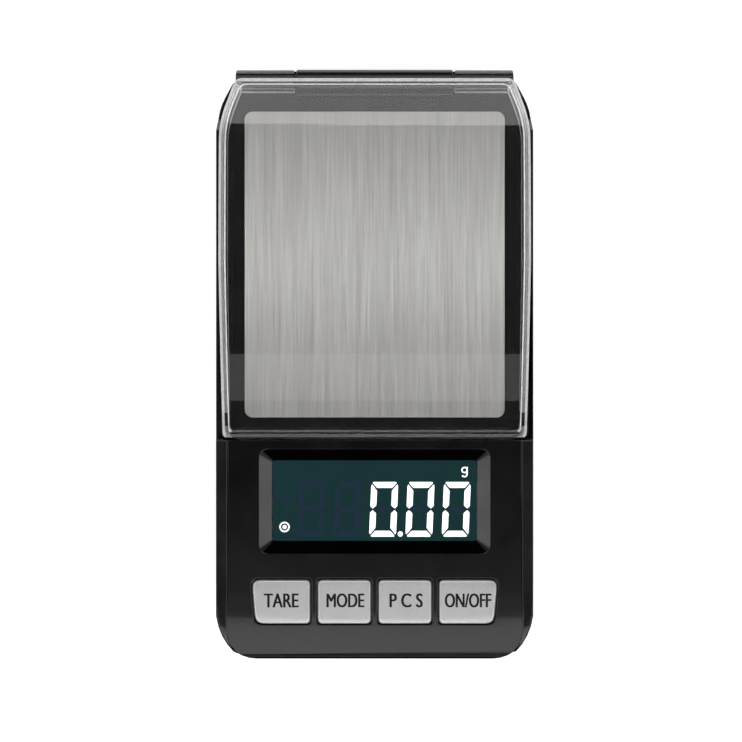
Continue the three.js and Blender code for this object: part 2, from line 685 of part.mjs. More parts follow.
function topCaseCuts() {
  const opening = roundedRectangle(0, DISPLAY_Y, OPENING_X, OPENING_Y, OPENING_ROUND);
  const mouth = roundedRectangle(0, DISPLAY_Y, FUNNEL_X + RUN, FUNNEL_Y + RUN, MOUTH_ROUND);
  const postWindow = roundedRectangle(
    0,
    (TRAY_POST_FRONT_Y + TRAY_POST_REAR_Y) / 2,
    2 * (TRAY_POST_X + POST_WINDOW_MARGIN),
    TRAY_POST_REAR_Y - TRAY_POST_FRONT_Y + 2 * POST_WINDOW_MARGIN,
    1,
  );
  const beamScrews = beamScrewPlaces().filter(({ end }) => end === "fixed");
  const boreEnd = HINGE_PIN_IN_X - RUN;
  const boreRadius = HINGE_PIN_RADIUS + RUN;
  return joined(
    wallRing(WALL - LIP_SKIN - LIP_GAP, SPLIT_Z, SPLIT_Z + LIP_HEIGHT + RUN),
    loft({ shape: opening, z: LIP_TOP_Z, segments: 8 }, { shape: mouth, z: DECK_Z + OVERLAP, segments: 8 }),
    raised(opening, LIP_LOW_Z - PAST, LIP_TOP_Z + OVERLAP, 3),
    ...KEYS.map((key) => raised(keyOutline(key, RUN), FLANGE_TOP_Z, DECK_Z + PAST)),
    raised(postWindow, PLATEAU_Z - 3, PLATEAU_Z + PAST, 3),
    ...beamScrews.map(({ y }) =>
      post(0, y, BEAM_TOP_Z - PAST, BEAM_SCREW_HOLE_TOP_Z, BEAM_HOLE_RADIUS, 14),
    ),
    ...[LEFT, RIGHT].map((side) => knuckleClearance(side)),
    rod(HINGE_Y, HINGE_Z, -BARREL_HALF_X - PAST, -boreEnd, boreRadius, 16),
    rod(HINGE_Y, HINGE_Z, boreEnd, BARREL_HALF_X + PAST, boreRadius, 16),
    ...CASE_SCREWS.map(({ x, y }) =>
      post(x, y, SPLIT_Z - PAST, CASE_SCREW_HOLE_TOP_Z, CASE_SCREW_HOLE, 14),
    ),
    ...[LEFT, RIGHT].map((side) =>
      post(side * BOARD_SCREW_X, EAR_Y, BOARD_TOP_Z - PAST, BOARD_SCREW_HOLE_TOP_Z, BOARD_HOLE_RADIUS, 12),
    ),
  );
}

function knuckleClearance(side) {
  const ends = [side * BARREL_HALF_X, side * (KNUCKLE_OUT_X + 0.7)].sort((a, b) => a - b);
  return rod(HINGE_Y, HINGE_Z, ...ends, KNUCKLE_RADIUS + KNUCKLE_ROOM);
}

// ---------------------------------------------------------------- lid

// The lid's outline in plan, drawn smaller all round by inset.
function lidOutline(inset = 0) {
  const right = [
    { x: LID_FRONT_HALF_X - inset, y: LID_FRONT_Y + inset, r: LID_FRONT_ROUND },
    { x: LID_HALF_X - inset, y: PLATFORM_Y, r: LID_FRONT_ROUND },
    { x: LID_FLANK_X - inset, y: LID_FLANK_Y, r: LID_FLANK_ROUND },
    { x: LID_REAR_X - 0.8 * inset, y: LID_REAR_Y - inset, r: LID_REAR_ROUND },
  ];
  const left = right.map(({ x, y, r }) => ({ x: -x, y, r })).reverse();
  return roundedPolygon([...right, ...left]);
}

// The space under the crown, seen from the side, down to low.
function crownSideView(drop, low) {
  const radius = CROWN_RADIUS - drop;
  const centreZ = CROWN_TOP_Z - CROWN_RADIUS;
  const front = LID_FRONT_Y - 5;
  const rear = LID_REAR_Y + 5;
  const reach = (y) => Math.acos((y - CROWN_Y) / radius);
  const shape = new THREE.Shape();
  shape.moveTo(front, low);
  shape.lineTo(rear, low);
  shape.absarc(CROWN_Y, centreZ, radius, reach(rear), reach(front));
  shape.closePath();
  return shape;
}

function buildLid() {
  const low = LID_LOW_Z - 5;
  const outside = raised(lidOutline(), LID_LOW_Z, ABOVE_Z).intersect(
    across(crownSideView(0, low), -ALL_X, ALL_X, 8),
  );
  const inside = raised(lidOutline(LID_WALL), low, ABOVE_Z).intersect(
    across(crownSideView(CROWN_SKIN, low - PAST), -ALL_X, ALL_X, 8),
  );
  const knuckles = [
    rod(HINGE_Y, HINGE_Z, -KNUCKLE_OUT_X, -KNUCKLE_IN_X, KNUCKLE_RADIUS),
    rod(HINGE_Y, HINGE_Z, KNUCKLE_IN_X, KNUCKLE_OUT_X, KNUCKLE_RADIUS),
  ];
  const plateauX = PLATEAU_HALF_X + LID_PLATEAU_MARGIN;
  const barrelX = BARREL_HALF_X + KNUCKLE_ROOM;
  const barrelTop = HINGE_Z + BARREL_RADIUS + KNUCKLE_ROOM;
  const cuts = joined(
    block(-plateauX, plateauX, STEP_Y - PAST, 0, low, PLATEAU_Z + RUN),
    block(-barrelX, barrelX, BARREL_SEAT_FRONT_Y, REAR_Y, low, barrelTop),
    block(-ALL_X, ALL_X, NIB_FRONT_Y - NOTCH_MARGIN, NIB_REAR_Y + NOTCH_MARGIN, low, NOTCH_TOP_Z),
    rod(HINGE_Y, HINGE_Z, -ALL_X, -BARREL_HALF_X, HINGE_PIN_RADIUS + RUN, 16),
    rod(HINGE_Y, HINGE_Z, BARREL_HALF_X, ALL_X, HINGE_PIN_RADIUS + RUN, 16),
  );
  return joined(outside.subtract(inside), ...knuckles).subtract(cuts);
}

function buildHingePin(side) {
  const ends = [side * HINGE_PIN_IN_X, side * HINGE_PIN_OUT_X].sort((a, b) => a - b);
  return rod(HINGE_Y, HINGE_Z, ...ends, HINGE_PIN_RADIUS, 16);
}

// ---------------------------------------------------------------- platform and load cell

function buildPlatformPlate() {
  const outline = roundedRectangle(0, PLATFORM_Y, PLATE_X, PLATE_Y, PLATE_ROUND);
  return raised(outline, PLATE_LOW_Z, PLATE_TOP_Z, 5);
}

function buildPlatformTray() {
  const width = PLATE_X - 2 * TRAY_INSET;
  const depth = PLATE_Y - 2 * TRAY_INSET;
  const outline = roundedRectangle(0, PLATFORM_Y, width, depth, PLATE_ROUND);
  const postLow = BEAM_TOP_Z + BEAM_GAP;
  const freeScrews = beamScrewPlaces().filter(({ end }) => end === "free");
  const holes = freeScrews.map(({ y }) =>
    post(0, y, BEAM_TOP_Z - PAST, TRAY_TOP_Z - WALL / 2, BEAM_HOLE_RADIUS, 14),
  );
  return joined(
    raised(outline, TRAY_LOW_Z, TRAY_TOP_Z, 3),
    block(-TRAY_POST_X, TRAY_POST_X, TRAY_POST_FRONT_Y, TRAY_POST_REAR_Y, postLow, TRAY_LOW_Z + OVERLAP),
  ).subtract(joined(...holes));
}

function beamScrewPlaces() {
  const half = BEAM_LENGTH / 2;
  return [
    { name: "fixed_1", end: "fixed", y: PLATFORM_Y - half + BEAM_END_TO_SCREW },
    { name: "fixed_2", end: "fixed", y: PLATFORM_Y - half + BEAM_END_TO_SCREW + BEAM_SCREW_SPACING },
    { name: "free_1", end: "free", y: PLATFORM_Y + half - BEAM_END_TO_SCREW - BEAM_SCREW_SPACING },
    { name: "free_2", end: "free", y: PLATFORM_Y + half - BEAM_END_TO_SCREW },
  ];
}

// The two eyes and the slot between them leave thin sections that bend and strain.
function buildLoadCellBeam() {
  const half = BEAM_LENGTH / 2;
  const midZ = (BEAM_LOW_Z + BEAM_TOP_Z) / 2;
  const front = PLATFORM_Y - BEAM_EYE_SPACING / 2;
  const rear = PLATFORM_Y + BEAM_EYE_SPACING / 2;
  const side = BEAM_WIDTH / 2;
  const past = side + PAST;
  const bar = block(-side, side, PLATFORM_Y - half, PLATFORM_Y + half, BEAM_LOW_Z, BEAM_TOP_Z);
  return bar.subtract(joined(
    rod(front, midZ, -past, past, BEAM_EYE_RADIUS),
    rod(rear, midZ, -past, past, BEAM_EYE_RADIUS),
    block(-past, past, front, rear, midZ - BEAM_SLOT_HALF, midZ + BEAM_SLOT_HALF),
    ...beamScrewPlaces().map(({ y }) =>
      post(0, y, BEAM_LOW_Z - PAST, BEAM_TOP_Z + PAST, BEAM_HOLE_RADIUS, 14),
    ),
  ));
}

function buildStrainGauge(z0, z1) {
  return block(
    -GAUGE_HALF_X,
    GAUGE_HALF_X,
    PLATFORM_Y - GAUGE_HALF_Y,
    PLATFORM_Y + GAUGE_HALF_Y,
    z0,
    z1,
  );
}

// A pan-head screw, head down at the origin, with its shank pointing up and a cross recess.
function buildScrew({ headRadius, headHeight, shankRadius, shankLength }) {
  const tip = headHeight + shankLength;
  const body = turned([
    [0, 0],
    [headRadius * 0.8, 0],
    [headRadius, headHeight * 0.3],
    [headRadius, headHeight],
    [shankRadius, headHeight],
    [shankRadius, tip - 0.6],
    [shankRadius * 0.4, tip],
    [0, tip],
  ], 12);
  const arm = headRadius * 0.62;
  const depth = headHeight * 0.5;
  return body.subtract(joined(
    block(-arm, arm, -RECESS_HALF, RECESS_HALF, -PAST, depth),
    block(-RECESS_HALF, RECESS_HALF, -arm, arm, -PAST, depth),
  ));
}

// ---------------------------------------------------------------- display, board and keys

function buildDisplayWindow() {
  return raised(roundedRectangle(0, DISPLAY_Y, WINDOW_X, WINDOW_Y, 0.8), WINDOW_LOW_Z, WINDOW_TOP_Z, 2);
}

function buildLcdGlass() {
  const [front, rear] = [DISPLAY_Y - GLASS_HALF_Y, DISPLAY_Y + GLASS_HALF_Y];
  return block(-GLASS_HALF_X, GLASS_HALF_X, front, rear, GLASS_LOW_Z, GLASS_TOP_Z);
}

function buildBacklightPanel() {
  const front = ZEBRA_REAR_Y + 0.4;
  const rear = DISPLAY_Y + GLASS_HALF_Y - 0.5;
  return block(-BACKLIGHT_HALF_X, BACKLIGHT_HALF_X, front, rear, STACK_LOW_Z, BACKLIGHT_TOP_Z);
}

function buildZebraStrip() {
  const front = DISPLAY_Y - GLASS_HALF_Y + 0.1;
  return block(-ZEBRA_HALF_X, ZEBRA_HALF_X, front, ZEBRA_REAR_Y, STACK_LOW_Z, BACKLIGHT_TOP_Z);
}

function buildLcdHolder() {
  const [front, rear] = [DISPLAY_Y - HOLDER_HALF_Y, DISPLAY_Y + HOLDER_HALF_Y];
  const roomX = GLASS_HALF_X + HOLDER_GAP;
  const roomY = GLASS_HALF_Y + HOLDER_GAP;
  const outer = block(-HOLDER_HALF_X, HOLDER_HALF_X, front, rear, STACK_LOW_Z, HOLDER_TOP_Z);
  const room = block(
    -roomX,
    roomX,
    DISPLAY_Y - roomY,
    DISPLAY_Y + roomY,
    STACK_LOW_Z - PAST,
    HOLDER_TOP_Z + PAST,
  );
  return outer.subtract(room);
}

function buildMainBoard() {
  const sheet = joined(
    block(-BOARD_HALF_X, BOARD_HALF_X, BOARD_FRONT_Y, BOARD_REAR_Y, BOARD_LOW_Z, BOARD_TOP_Z),
    block(-EAR_HALF_X, EAR_HALF_X, EAR_Y - EAR_HALF_Y, EAR_Y + EAR_HALF_Y, BOARD_LOW_Z, BOARD_TOP_Z),
  );
  const holes = [LEFT, RIGHT].map((side) =>
    post(side * BOARD_SCREW_X, EAR_Y, BOARD_LOW_Z - PAST, BOARD_TOP_Z + PAST, BOARD_HOLE_RADIUS, 12),
  );
  return sheet.subtract(joined(...holes));
}

function buildSwitchBody({ x, y }) {
  const half = SWITCH_HALF;
  const body = block(x - half, x + half, y - half, y + half, STACK_LOW_Z, SWITCH_TOP_Z);
  return body.subtract(post(x, y, SWITCH_WELL_Z, SWITCH_TOP_Z + PAST, SWITCH_WELL_RADIUS));
}

function buildSwitchPlunger({ x, y }) {
  return post(x, y, PLUNGER_LOW_Z, FLANGE_LOW_Z - OVERLAP, PLUNGER_RADIUS);
}

// A key cap whose top follows the nose, with a flange that keeps it behind the deck.
function buildKey(key) {
  const topAt = (y) => deckHeight(y) + KEY_PROUD;
  const cap = loft(
    { shape: keyOutline(key), z: FLANGE_TOP_Z - 0.4, segments: 3 },
    { shape: keyOutline(key), z: (y) => topAt(y) - KEY_EDGE_DROP, segments: 3 },
    { shape: keyOutline(key, -KEY_EDGE_IN), z: topAt, segments: 3 },
  );
  return cap.add(raised(keyOutline(key, FLANGE_WIDTH), FLANGE_LOW_Z, FLANGE_TOP_Z - OVERLAP, 2));
}

// ---------------------------------------------------------------- power

function buildCell() {
  const edge = 0.5;
  const top = CELL_BODY + CELL_NUB;
  return turned([
    [0, 0],
    [CELL_RADIUS - edge, 0],
    [CELL_RADIUS, edge],
    [CELL_RADIUS, CELL_BODY - edge],
    [CELL_RADIUS - edge, CELL_BODY],
    [CELL_NUB_RADIUS, CELL_BODY],
    [CELL_NUB_RADIUS, top - edge / 2],
    [CELL_NUB_RADIUS - edge / 2, top],
    [0, top],
  ]);
}

// A cone of spring wire that presses on a cell's flat end.
function buildBatterySpring(side, y) {
  const steps = SPRING_TURNS * SPRING_STEPS_PER_TURN;
  const points = [];
  for (let i = 0; i <= steps; i += 1) {
    const share = i / steps;
    const angle = share * SPRING_TURNS * 2 * Math.PI;
    const radius = SPRING_FOOT_RADIUS + (SPRING_TIP_RADIUS - SPRING_FOOT_RADIUS) * share;
    const x = side * (CONTACT_X - SPRING_FOOT_GAP - SPRING_LENGTH * share);
    points.push([x, y + radius * Math.cos(angle), CELL_Z + radius * Math.sin(angle)]);
  }
  return wire(points, SPRING_WIRE_RADIUS, steps);
}

function buildEndContact(side, y0, y1, tabY) {
  const slab = (far, front, rear, low) => {
    const ends = [side * CONTACT_X, side * far].sort((a, b) => a - b);
    return block(...ends, front, rear, low, CONTACT_TOP_Z);
  };
  const plate = slab(CONTACT_X + CONTACT_SKIN, y0, y1, CONTACT_LOW_Z);
  if (tabY === null) return plate;
  const tabX = CONTACT_X + CONTACT_SKIN + TAB_LENGTH;
  return plate.add(slab(tabX, tabY - TAB_HALF_Y, tabY + TAB_HALF_Y, CONTACT_TOP_Z - TAB_SKIN));
}

function buildBatteryWire(y) {
  return wire([
    [28, y, 11.7],
    [28.9, y, 12.6],
    [28.9, y - 0.2, 14.6],
    [27.8, y - 0.4, 15.6],
    [25.6, y - 0.4, 15.6],
  ], 0.5, 12);
}

function buildLoadCellWire(i) {
  const spread = 1.3 * i;
  return wire([
    [4.7, PLATFORM_Y - 4 + 2.2 * i, 13.2],
    [7.6 + spread, PLATFORM_Y - 9 + spread, 13],
    [8.6 + spread, 0, 12.2],
    [8.6 + spread, -12, 11.6],
    [7.6 + spread, -18, 12.2],
    [7.6 + spread, -20.4, 13.3],
  ], 0.42, 14);
}

// ---------------------------------------------------------------- assembly

const FINISH = {
  blackPlastic: { color: 0x17171a, roughness: 0.5, metalness: 0 },
  clearPlastic: { color: 0xe8ecf0, roughness: 0.05, metalness: 0, transparent: true, opacity: 0.3 },
  pinPlastic: { color: 0x202024, roughness: 0.4, metalness: 0 },
  brushedSteel: { color: 0xb9b8b5, roughness: 0.35, metalness: 1 },
  silverKey: { color: 0xb6b6b7, roughness: 0.4, metalness: 0.5 },
  aluminium: { color: 0xc4c6c8, roughness: 0.35, metalness: 1 },
  zincedSteel: { color: 0x8f9296, roughness: 0.35, metalness: 1 },
  rubber: { color: 0x1b1b1c, roughness: 0.9, metalness: 0 },
  lcd: { color: 0x1b3739, roughness: 0.15, metalness: 0 },
  whitePlastic: { color: 0xe8e8e2, roughness: 0.5, metalness: 0 },
  greenBoard: { color: 0x1d5a34, roughness: 0.5, metalness: 0 },
  chip: { color: 0x141416, roughness: 0.6, metalness: 0 },
  cellWrap: { color: 0x3a4a5c, roughness: 0.35, metalness: 0.3 },
  nickel: { color: 0xb3b1aa, roughness: 0.3, metalness: 1 },
  sealant: { color: 0xdfe3e2, roughness: 0.6, metalness: 0 },
  redWire: { color: 0xb01c1c, roughness: 0.5, metalness: 0 },
  blackWire: { color: 0x141414, roughness: 0.5, metalness: 0 },
  whiteWire: { color: 0xe2e2e2, roughness: 0.5, metalness: 0 },
  greenWire: { color: 0x1f7a3a, roughness: 0.5, metalness: 0 },
};

const scale = new THREE.Group();

function add(name, solid, finish, place = (mesh) => mesh) {
  const mesh = new THREE.Mesh(geometryFrom(solid), new THREE.MeshStandardMaterial(FINISH[finish]));
  mesh.name = name;
  place(mesh);
  scale.add(mesh);
}

function addCase() {
  add("bottom_case", buildBottomCase(), "blackPlastic");
  add("top_case", buildTopCase(), "blackPlastic");
  add("battery_door", buildBatteryDoor(), "blackPlastic");
  for (const { name, x, y } of FEET) {
    add(`rubber_foot_${name}`, post(x, y, 0, FOOT_TOP_Z, FOOT_RADIUS, 24, FOOT_RADIUS - 0.3), "rubber");
  }
  for (const { name, x, y } of CASE_SCREWS) {
    const place = (mesh) => mesh.position.set(x, y, CASE_SCREW_Z);
    add(`case_screw_${name}`, buildScrew(CASE_SCREW), "zincedSteel", place);
  }
}

function addLid() {
  add("lid", buildLid(), "clearPlastic");
  add("hinge_pin_left", buildHingePin(LEFT), "pinPlastic");
  add("hinge_pin_right", buildHingePin(RIGHT), "pinPlastic");
}

function addPlatform() {
  add("platform_plate", buildPlatformPlate(), "brushedSteel");
  add("platform_tray", buildPlatformTray(), "blackPlastic");
  add("load_cell_beam", buildLoadCellBeam(), "aluminium");
  const above = BEAM_TOP_Z + GAUGE_GAP;
  const below = BEAM_LOW_Z - GAUGE_GAP;
  add("strain_gauge_top", buildStrainGauge(above, above + GAUGE_SKIN), "sealant");
  add("strain_gauge_bottom", buildStrainGauge(below - GAUGE_SKIN, below), "sealant");
  for (const { name, y } of beamScrewPlaces()) {
    const place = (mesh) => mesh.position.set(0, y, BEAM_SCREW_Z);
    add(`load_cell_screw_${name}`, buildScrew(BEAM_SCREW), "zincedSteel", place);
  }
  ["redWire", "blackWire", "whiteWire", "greenWire"].forEach((finish, i) => {
    add(`load_cell_wire_${i + 1}`, buildLoadCellWire(i), finish);
  });
}

function addElectronics() {
  add("main_pcb", buildMainBoard(), "greenBoard");
  const under = BOARD_LOW_Z - OVERLAP;
  add("controller_chip", block(-13, -3, -33, -23, CHIP_LOW_Z, under), "chip");
  add("adc_chip", block(6, 11, -32, -26, CHIP_LOW_Z, under), "chip");
  add("crystal", block(-22, -17, -29, -27, CHIP_LOW_Z, under), "zincedSteel");
  add("filter_capacitor", post(18.5, -30, CAPACITOR_LOW_Z, under, CAPACITOR_RADIUS), "chip");
  add("zebra_strip", buildZebraStrip(), "sealant");
  add("backlight_panel", buildBacklightPanel(), "whitePlastic");
  add("lcd_holder", buildLcdHolder(), "blackPlastic");
  add("lcd_glass", buildLcdGlass(), "lcd");
  add("display_window", buildDisplayWindow(), "clearPlastic");
  for (const [name, side] of [["left", LEFT], ["right", RIGHT]]) {
    const place = (mesh) => mesh.position.set(side * BOARD_SCREW_X, EAR_Y, BOARD_SCREW_Z);
    add(`pcb_screw_${name}`, buildScrew(BOARD_SCREW), "zincedSteel", place);
  }
}

function addKeys() {
  for (const key of KEYS) {
    add(`key_${key.name}`, buildKey(key), "silverKey");
    add(`switch_plunger_${key.name}`, buildSwitchPlunger(key), "blackPlastic");
    add(`switch_body_${key.name}`, buildSwitchBody(key), "chip");
  }
}

function addPower() {
  const plateX = CONTACT_X - CELL_GAP;
  const [front, rear] = [CELL_FRONT_Y, CELL_REAR_Y];
  const half = CONTACT_HALF_Y;
  add("battery_front", buildCell(), "cellWrap", (mesh) => {
    mesh.rotation.y = Math.PI / 2;
    mesh.position.set(plateX - CELL_BODY - CELL_NUB, front, CELL_Z);
  });
  add("battery_rear", buildCell(), "cellWrap", (mesh) => {
    mesh.rotation.y = -Math.PI / 2;
    mesh.position.set(CELL_BODY + CELL_NUB - plateX, rear, CELL_Z);
  });
  add("battery_spring_front", buildBatterySpring(LEFT, front), "nickel");
  add("battery_spring_rear", buildBatterySpring(RIGHT, rear), "nickel");
  add("series_contact", buildEndContact(LEFT, front - half, rear + half, null), "nickel");
  add("positive_contact", buildEndContact(RIGHT, front - half, front + half, front), "nickel");
  add("negative_contact", buildEndContact(RIGHT, rear - half, rear + half, rear), "nickel");
  add("battery_wire_red", buildBatteryWire(front), "redWire");
  add("battery_wire_black", buildBatteryWire(rear), "blackWire");
}

addCase();
addLid();
addPlatform();
addElectronics();
addKeys();
addPower();

export default scale;
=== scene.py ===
"""The finished look of the pocket gram scale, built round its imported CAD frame.

Blender works in metres here. Sizes below are in millimetres and go through MM.
X runs across the scale, +Y points to the lid's hinge and +Z points up.
"""

import math

import bmesh
import bpy
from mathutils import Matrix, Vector
from mathutils.bvhtree import BVHTree


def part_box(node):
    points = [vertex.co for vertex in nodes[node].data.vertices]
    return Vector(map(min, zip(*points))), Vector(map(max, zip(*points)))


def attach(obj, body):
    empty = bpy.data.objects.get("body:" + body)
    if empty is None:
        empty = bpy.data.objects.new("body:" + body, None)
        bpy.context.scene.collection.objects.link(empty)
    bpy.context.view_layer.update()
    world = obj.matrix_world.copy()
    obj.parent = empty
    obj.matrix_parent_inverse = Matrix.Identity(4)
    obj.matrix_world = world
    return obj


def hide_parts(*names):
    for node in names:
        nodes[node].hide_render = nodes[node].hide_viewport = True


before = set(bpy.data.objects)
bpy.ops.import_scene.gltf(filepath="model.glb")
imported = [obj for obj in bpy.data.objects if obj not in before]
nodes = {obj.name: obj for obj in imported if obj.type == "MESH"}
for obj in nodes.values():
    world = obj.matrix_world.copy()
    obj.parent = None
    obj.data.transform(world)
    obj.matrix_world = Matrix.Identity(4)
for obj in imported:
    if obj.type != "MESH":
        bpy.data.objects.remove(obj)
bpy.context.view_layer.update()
scene = bpy.context.scene

MM = 0.001
LEFT = -1
RIGHT = 1

# ---------------------------------------------------------------- sizes, in millimetres

# Lid: plan outline, crown and wall.
LID_HALF_X = 33.85
LID_WIDEST_Y = 21.9
LID_FRONT_HALF_X = 33.3
LID_FLANK = (33.8, 52.5)
LID_FLANK_ROUND = 4
LID_REAR = (30.3, 62.2)
LID_REAR_ROUND = 1.5
LID_FRONT_ROUND = 1
LID_FRONT_Y = -16.2
LID_LOW_Z = 14.9
LID_WALL = 1.2
CROWN_TOP_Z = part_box("lid")[1].z / MM
CROWN_RADIUS = 260
CROWN_Y = 30
CROWN_SKIN = 1.2
CROWN_EDGE_ROUND = 0.9
CROWN_INNER_ROUND = 0.5
LID_RIM_ROUND = 0.3

# Painted highlights on the lid, as shares of white diffuse in the clear plastic.
RIM_HIGHLIGHT_Z = LID_LOW_Z + LID_RIM_ROUND + 0.2
CROWN_HIGHLIGHT_Z = 20
RIM_FLAT_HIGHLIGHT = 0.4
FILLET_HIGHLIGHT = 0.6
FRONT_FILLET_HIGHLIGHT = 0.12
REAR_EDGE_HIGHLIGHT = 0.9
REAR_EDGE_Y = (61.2, 61.45)
REAR_EDGE_Z = 22.3
# Behind this Y the clear plastic turns dark grey, over the rear half of the hinge knuckles.
DARK_GREY_Y = 62.3
CORNER_STEPS = 14
CROWN_STRIP = 3.5
CROWN_SHARP = 40  # degrees; the shading breaks across sharper edges of the lid

# Hinge knuckles of the lid.
HINGE_Y = 62.6
HINGE_Z = 16.2
KNUCKLE_RADIUS = 2.6
KNUCKLE_ROUND = 0.3
KNUCKLE_BORE = 1.8
KNUCKLE_IN_X = 17.7
KNUCKLE_OUT_X = 30.7

# Cuts in the lid: over the plateau, for the snap nibs and over the middle barrel.
PLATEAU_ROOM = (32.1, 16.1)
NOTCH_Y = (-13.4, -10.4)
NOTCH_TOP_Z = 16.2
BARREL_ROOM = (17.7, 59.4, 19.3)
CUT_LOW_Z = 10

# Weighing plate.
PLATE_CORNER = 1.8
PLATE_EDGE_ROUND = 0.3
PLATE_BURR = 0.12
# Painted highlight on the plate: its colour is lightest at this Y and fades out over this reach.
PAINTED_HIGHLIGHT_Y = 23
PAINTED_HIGHLIGHT_REACH = 36

# Half the length of a dry cell.
CELL_HALF = 24

# Display recess and nose of the upper shell, where the case plastic gets painted shade.
RECESS_Y = -30.2
RECESS_HALF = (25.8, 12)
RECESS_TOP_Z = 20.58
NOSE_FOOT_Y = -62.5
NOSE_FOOT_Z = 16.8

# Display characters.
DIGIT_WIDTH = 5.95
DIGIT_HEIGHT = 12.12
DIGIT_STROKE = 1.32
DIGIT_GAP = 0.62
DIGIT_SLANT = 0.043
DIGIT_PITCH = 8.03
DIGIT_CENTRE_Y = -2.0
DIGIT_CORNER = 0.12
DIGITS = 5
UNLIT_DIGITS = 2
FIRST_DIGIT_X = -14.06
POINT_PLACE = (5.68, -7.46)
POINT_RADIUS = 0.58
MINUS_PLACE = (-20, 0.15)
MINUS_HALF = (1.8, 0.55)
ZERO_MARK_PLACE = (-19.93, -5.9)
ZERO_MARK_RADII = {"outer": 1.15, "inner": 0.83, "dot": 0.46}
UNIT_PLACE = (19.88, 6.7)
UNIT_BOWL = 0.72
UNIT_STROKE = 0.3
UNIT_DROP = 0.9
CHARACTER_SKIN = 0.04
CHARACTER_LIFT = 0.02

# Key lettering.
LABEL_CAP_HEIGHT = 3.05
LABEL_BASELINE_Y = -1.15
LABEL_SKIN = 0.025
LABEL_BOLD = 0.2
RAY_START = 5
LABELS = {
    "tare": {"text": "TARE", "width": 7.6, "shift": 0.0},
    "mode": {"text": "MODE", "width": 8.3, "shift": 0.25},
    "pieces": {"text": "P C S", "width": 7.3, "shift": 0.25},
    "power": {"text": "ON/OFF", "width": 10.2, "shift": 0.0},
}

# Studio.
CAMERA_PLACE = (-0.8, -1.6, 349)
CAMERA_LENS = 72.7
SENSOR_WIDTH = 36
FLOOR_HALF = 1500
PANEL_DISTANCE = 0.8  # metres
PANEL_AIM_Z = 0.02  # metres
PANELS = {  # azimuth, tilt and spread in degrees, length in metres, power in watts a square metre
    "rear_panel": (0, 39.2, 16.8, 1.3, 4.7),
    "front_strip": (180, 15, 3.5, 1.0, 1.6),
    "front_panel": (180, 48, 23, 1.3, 5.5),
    "left_panel": (-90, 62.5, 7.5, 1.2, 8.0),
    "right_panel": (90, 62.5, 7.5, 1.2, 8.0),
}

# Shading of the CAD nodes, in degrees.
SHARP_ANGLE = 28
ROUNDED_ANGLE = 36
FLAT_ANGLE = 0.5


# ---------------------------------------------------------------- mesh helpers

def finish_mesh(name, shape, material, body):
    """Turns a bmesh into a named piece that rides on a body, and returns it."""
    bmesh.ops.recalc_face_normals(shape, faces=shape.faces)
    mesh = bpy.data.meshes.new(name)
    shape.to_mesh(mesh)
    shape.free()
    mesh.polygons.foreach_set("use_smooth", [True] * len(mesh.polygons))
    piece = bpy.data.objects.new(name, mesh)
    scene.collection.objects.link(piece)
    piece.data.materials.append(material)
    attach(piece, body)
    return piece


def corner_points(centre, radii, start, end, steps):
    """Points along an elliptical corner, from the start angle to the end angle in degrees."""
    points = []
    for i in range(steps + 1):
        angle = math.radians(start + (end - start) * i / steps)
        points.append((centre[0] + radii[0] * math.cos(angle), centre[1] + radii[1] * math.sin(angle)))
    return points


def rounded_rectangle(centre, half_x, half_y, radius, steps=10):
    """A rectangle with round corners, anticlockwise from the right of the front right corner."""
    x, y = centre
    corners = [
        ((x + half_x - radius, y - half_y + radius), -90, 0),
        ((x + half_x - radius, y + half_y - radius), 0, 90),
        ((x - half_x + radius, y + half_y - radius), 90, 180),
        ((x - half_x + radius, y - half_y + radius), 180, 270),
    ]
    points = []
    for middle, start, end in corners:
        points += corner_points(middle, (radius, radius), start, end, steps)
    return points


def add_ring(shape, outline, height):
    return [shape.verts.new((x * MM, y * MM, height * MM)) for x, y in outline]


def bridge(shape, lower, upper):
    """Joins two rings with the same number of points by a band of quads."""
    count = len(lower)
    for i in range(count):
        j = (i + 1) % count
        shape.faces.new((lower[i], lower[j], upper[j], upper[i]))


def stacked_solid(rings):
    """A closed solid through rings of (outline, height), capped flat at both ends."""
    shape = bmesh.new()
    made = [add_ring(shape, outline, height) for outline, height in rings]
    for lower, upper in zip(made, made[1:]):
        bridge(shape, lower, upper)
    shape.faces.new(list(reversed(made[0])))
    shape.faces.new(made[-1])
    return shape


def prism(outline, low, top):
    return stacked_solid([(outline, low), (outline, top)])


def box_solid(x0, x1, y0, y1, z0, z1):
    return prism([(x0, y0), (x1, y0), (x1, y1), (x0, y1)], z0, z1)


def ring_round_x(shape, x, y, z, radius, sides=48):
    """A ring of points round the line along X through (y, z)."""
    ring = []
    for i in range(sides):
        angle = 2 * math.pi * i / sides
        place = (x, y + radius * math.cos(angle), z + radius * math.sin(angle))
        ring.append(shape.verts.new(Vector(place) * MM))
    return ring


def rod_along_x(y, z, x0, x1, radius):
    """A round rod along X."""
    shape = bmesh.new()
    ends = [ring_round_x(shape, x, y, z, radius) for x in (x0, x1)]
    bridge(shape, ends[0], ends[1])
    shape.faces.new(list(reversed(ends[0])))
    shape.faces.new(ends[1])
    bmesh.ops.recalc_face_normals(shape, faces=shape.faces)
    return shape


def as_object(shape):
    """A scratch object for a boolean."""
    bmesh.ops.recalc_face_normals(shape, faces=shape.faces)
    mesh = bpy.data.meshes.new("scratch")
    shape.to_mesh(mesh)
    shape.free()
    scratch = bpy.data.objects.new("scratch", mesh)
    scene.collection.objects.link(scratch)
    return scratch


def combine(base, operand, operation):
    """Applies a boolean to a scratch object and removes the operand."""
    modifier = base.modifiers.new("combine", "BOOLEAN")
    modifier.operation = operation
    modifier.solver = "EXACT"
    modifier.object = operand
    bpy.context.view_layer.update()
    depsgraph = bpy.context.evaluated_depsgraph_get()
    mesh = bpy.data.meshes.new_from_object(base.evaluated_get(depsgraph))
    base.modifiers.clear()
    base.data = mesh
    bpy.data.objects.remove(operand)


